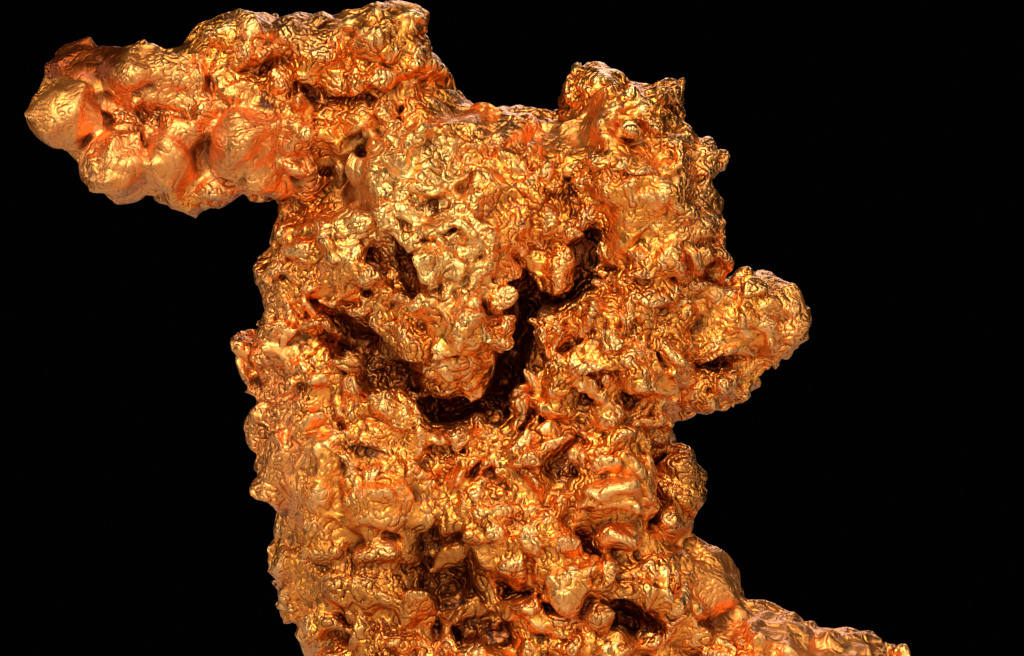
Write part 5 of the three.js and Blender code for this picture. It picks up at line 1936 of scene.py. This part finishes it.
    def roughened(
        self, base: DistanceField, metal: DistanceField, random: np.random.Generator
    ) -> None:
        """Adds the scales of unevenness to the thin shell around the surface.

        Args:
            base: The broad masses.
            metal: The field.
            random: Seeded source of the noise.
        """
        shell = np.argwhere(np.abs(metal.values) < self.change.shell)
        points = metal.low + shell * metal.step
        calm = self.calm(base, points)
        wave = WaveNoise(self.change.wavelength, random, self.change.band)
        changing = self.change.mean + self.change.swing * wave.at(points)
        lift = np.zeros(len(points))
        for layer in self.layers:
            share = np.clip(changing - layer.calmed * calm, 0.0, self.change.most)
            lift += layer.lift(points, random) * share
        metal.values[tuple(shell.T)] -= lift

    def skin(self) -> tuple[Skin, DistanceField, DistanceField, Drift]:
        """Builds the finest skin.

        Returns:
            The outer sheet in millimetres, the broad masses, the metal and the push.
        """
        factor = self.fine_factor
        base, metal = self.shape.metal(factor)
        random = np.random.default_rng(self.seed)
        self.roughened(base, metal, random)

        def crowding(points: np.ndarray) -> np.ndarray:
            """Share of the small features that points keep."""
            return 1.0 - self.clearing * np.maximum(self.calm(base, points), 0.0)

        for feature in self.features:
            feature.strew(metal, random, crowding)
        self.open_around(metal)
        skin = Skin.around(metal)
        ground = skin.points[:, 2] < metal.step * self.ON_GROUND
        drift = Drift(self.drift, random)
        skin.points = drift.pushed(skin.points)
        skin.points[ground, 2] = 0.0
        return skin.largest_sheet(), base, metal, drift

    @staticmethod
    def open_around(metal: DistanceField) -> None:
        """Clears everything up to the resting plane and the outer walls.

        Args:
            metal: The field.
        """
        ground = round(-FIELD_LOW[2] / metal.step)
        away = metal.step / 4.0
        for part in (np.s_[:, :, : ground + 1], np.s_[0], np.s_[-1], np.s_[:, 0], np.s_[:, -1]):
            metal.values[part] = np.maximum(np.abs(metal.values[part]), away)

    def build(self) -> bpy.types.Object:
        """Builds, thins and dresses the nugget.

        Returns:
            The finished object.
        """
        skin, base, metal, drift = self.skin()
        LOG.info("skin: %d points", len(skin.points))
        raw = bpy.data.objects.new("gold_nugget_raw", skin.to_mesh("gold_nugget_raw"))
        bpy.context.scene.collection.objects.link(raw)
        thin = raw.modifiers.new("thin", "DECIMATE")
        thin.ratio = min(1.0, self.face_limit / (2.0 * len(skin.squares)))
        graph = bpy.context.evaluated_depsgraph_get()
        mesh = bpy.data.meshes.new_from_object(raw.evaluated_get(graph))
        mesh.name = "gold_nugget"
        bpy.data.objects.remove(raw)
        nugget = bpy.data.objects.new("gold_nugget", mesh)
        bpy.context.scene.collection.objects.link(nugget)
        mesh.shade_smooth()
        self.mark_relief(mesh, base, metal, drift)
        mesh.materials.clear()
        mesh.materials.append(self.finish.material())
        return nugget

    def mark_relief(
        self, mesh: bpy.types.Mesh, base: DistanceField, metal: DistanceField, drift: Drift
    ) -> None:
        """Stores on each point how deep it lies and which zones it is in.

        Args:
            mesh: The mesh.
            base: The broad masses.
            metal: The metal that the mesh was wrapped around.
            drift: The push that the mesh got.
        """
        points = np.empty(len(mesh.vertices) * 3, dtype=np.float32)
        mesh.vertices.foreach_get("co", points)
        points = points.reshape(-1, 3) / METRES_PER_MM - np.array(ORIGIN_SHIFT)
        points = drift.undone(points.astype(float))
        # near, wide and broad place the painted highlight on crests and the painted shade in
        # creases and hollows
        marks = {
            name: metal.solidity(passes, half).at(points) - 0.5
            for name, passes, half in self.windows
        }
        marks["calm"] = self.calm(base, points)
        # The copper mark: above 0 a more coppery gold, below 0 painted light on the chest
        marks["copper"] = self.spread(self.copper_and_painted_light_zones, base, points)
        # Patches of painted shade
        marks["painted_shade_patch"] = self.spread(self.painted_shade_zones, base, points)
        for name, values in marks.items():
            attribute = mesh.attributes.new(name, "FLOAT", "POINT")
            attribute.data.foreach_set("value", values.astype(np.float32))


@dataclass(frozen=True)
class SoftLight:
    """One soft studio lamp that faces the nugget.

    Attributes:
        name: Name of the lamp.
        place: Position in metres.
        size: Width and height of the lamp in metres.
        power: Power in watts.
        colour: Colour of the light.
    """

    name: str
    place: tuple[float, float, float]
    size: tuple[float, float]
    power: float
    colour: tuple[float, float, float] = (1.0, 1.0, 1.0)

    def build(self, target: Vector) -> None:
        """Hangs the lamp.

        Args:
            target: Point it faces.
        """
        data = bpy.data.lights.new(self.name, "AREA")
        data.shape = "RECTANGLE"
        data.size, data.size_y = self.size
        data.energy = self.power
        data.color = self.colour
        lamp = bpy.data.objects.new(self.name, data)
        lamp.location = self.place
        lamp.rotation_euler = (target - Vector(self.place)).to_track_quat("-Z", "Y").to_euler()
        bpy.context.scene.collection.objects.link(lamp)


@dataclass
class Studio:
    """Floor, lamps, surroundings and camera.

    Attributes:
        floor_radius: Radius of the floor in metres.
        floor_sides: Sides of the floor's rim.
        floor_colour: Colour of the floor.
        floor_roughness: Roughness of the floor.
        world: Colour of the surroundings.
        target: Point that the lamps and the camera look at, in metres.
        distance: How far the camera stands in front, in metres.
        view_width: Width of what the camera sees at the nugget, in metres.
        lamps: The lamps.
    """

    floor_radius: float = 0.42
    floor_sides: int = 96
    floor_colour: Colour = (0.60, 0.59, 0.57, 1.0)
    floor_roughness: float = 0.7
    world: Colour = (0.0004, 0.0004, 0.0004, 1.0)
    target: tuple[float, float, float] = (0.00784, 0.0027, 0.1277)
    distance: float = 1.2
    view_width: float = 0.2896
    # Name, place, size and power
    lamps: tuple[SoftLight, ...] = (
        SoftLight("key", (-0.3, -1.0, 0.95), (0.7, 0.45), 13.2),
        SoftLight("top", (0.1, -0.3, 1.0), (0.6, 0.4), 3.0),
        SoftLight("front", (0.0, -1.7, 0.3), (2.2, 1.4), 11.2),
        SoftLight("right_strip", (0.95, -0.35, 0.5), (0.2, 0.7), 2.0),
        SoftLight("left_strip", (-0.95, 0.1, 0.4), (0.2, 0.7), 2.0),
        SoftLight("back", (0.2, 1.1, 0.8), (0.6, 0.5), 3.0),
        SoftLight("glint_left", (-0.35, -1.3, 0.45), (0.06, 0.06), 0.4),
        SoftLight("glint_right", (0.5, -1.2, 0.6), (0.06, 0.06), 0.6),
    )

    def build(self) -> None:
        """Sets up the whole studio."""
        self.floor()
        scene = bpy.context.scene
        scene.view_settings.view_transform = "Standard"
        scene.world = bpy.data.worlds.new("surroundings")
        scene.world.use_nodes = True
        scene.world.node_tree.nodes["Background"].inputs["Color"].default_value = self.world
        for lamp in self.lamps:
            lamp.build(Vector(self.target))
        data = bpy.data.cameras.new("camera")
        data.sensor_width = 36.0
        data.lens = data.sensor_width * self.distance / self.view_width
        camera = bpy.data.objects.new("camera", data)
        camera.location = (self.target[0], self.target[1] - self.distance, self.target[2])
        camera.rotation_euler = (math.pi / 2.0, 0.0, 0.0)
        scene.collection.objects.link(camera)
        scene.camera = camera

    def floor(self) -> None:
        """Lays a plain pale floor."""
        mesh = bpy.data.meshes.new("floor")
        angles = np.linspace(0.0, 2.0 * math.pi, self.floor_sides, endpoint=False)
        rim = [
            (self.floor_radius * math.cos(angle), self.floor_radius * math.sin(angle), 0.0)
            for angle in angles
        ]
        mesh.from_pydata(rim, [], [list(range(self.floor_sides))])
        material = bpy.data.materials.new("pale_floor")
        material.use_nodes = True
        shader = material.node_tree.nodes["Principled BSDF"]
        shader.inputs["Base Color"].default_value = self.floor_colour
        shader.inputs["Roughness"].default_value = self.floor_roughness
        mesh.materials.append(material)
        floor = bpy.data.objects.new("floor", mesh)
        bpy.context.scene.collection.objects.link(floor)


def main() -> None:
    """Builds the nugget and the studio around it."""
    logging.basicConfig(level=logging.INFO, format="%(name)s: %(message)s")
    nugget = Nugget().build()
    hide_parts("nugget")
    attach(nugget, "root")
    LOG.info("gold_nugget: %d faces", len(nugget.data.polygons))
    Studio().build()
    LOG.info("studio: floor, lamps and camera")


if __name__ == "__main__":
    main()
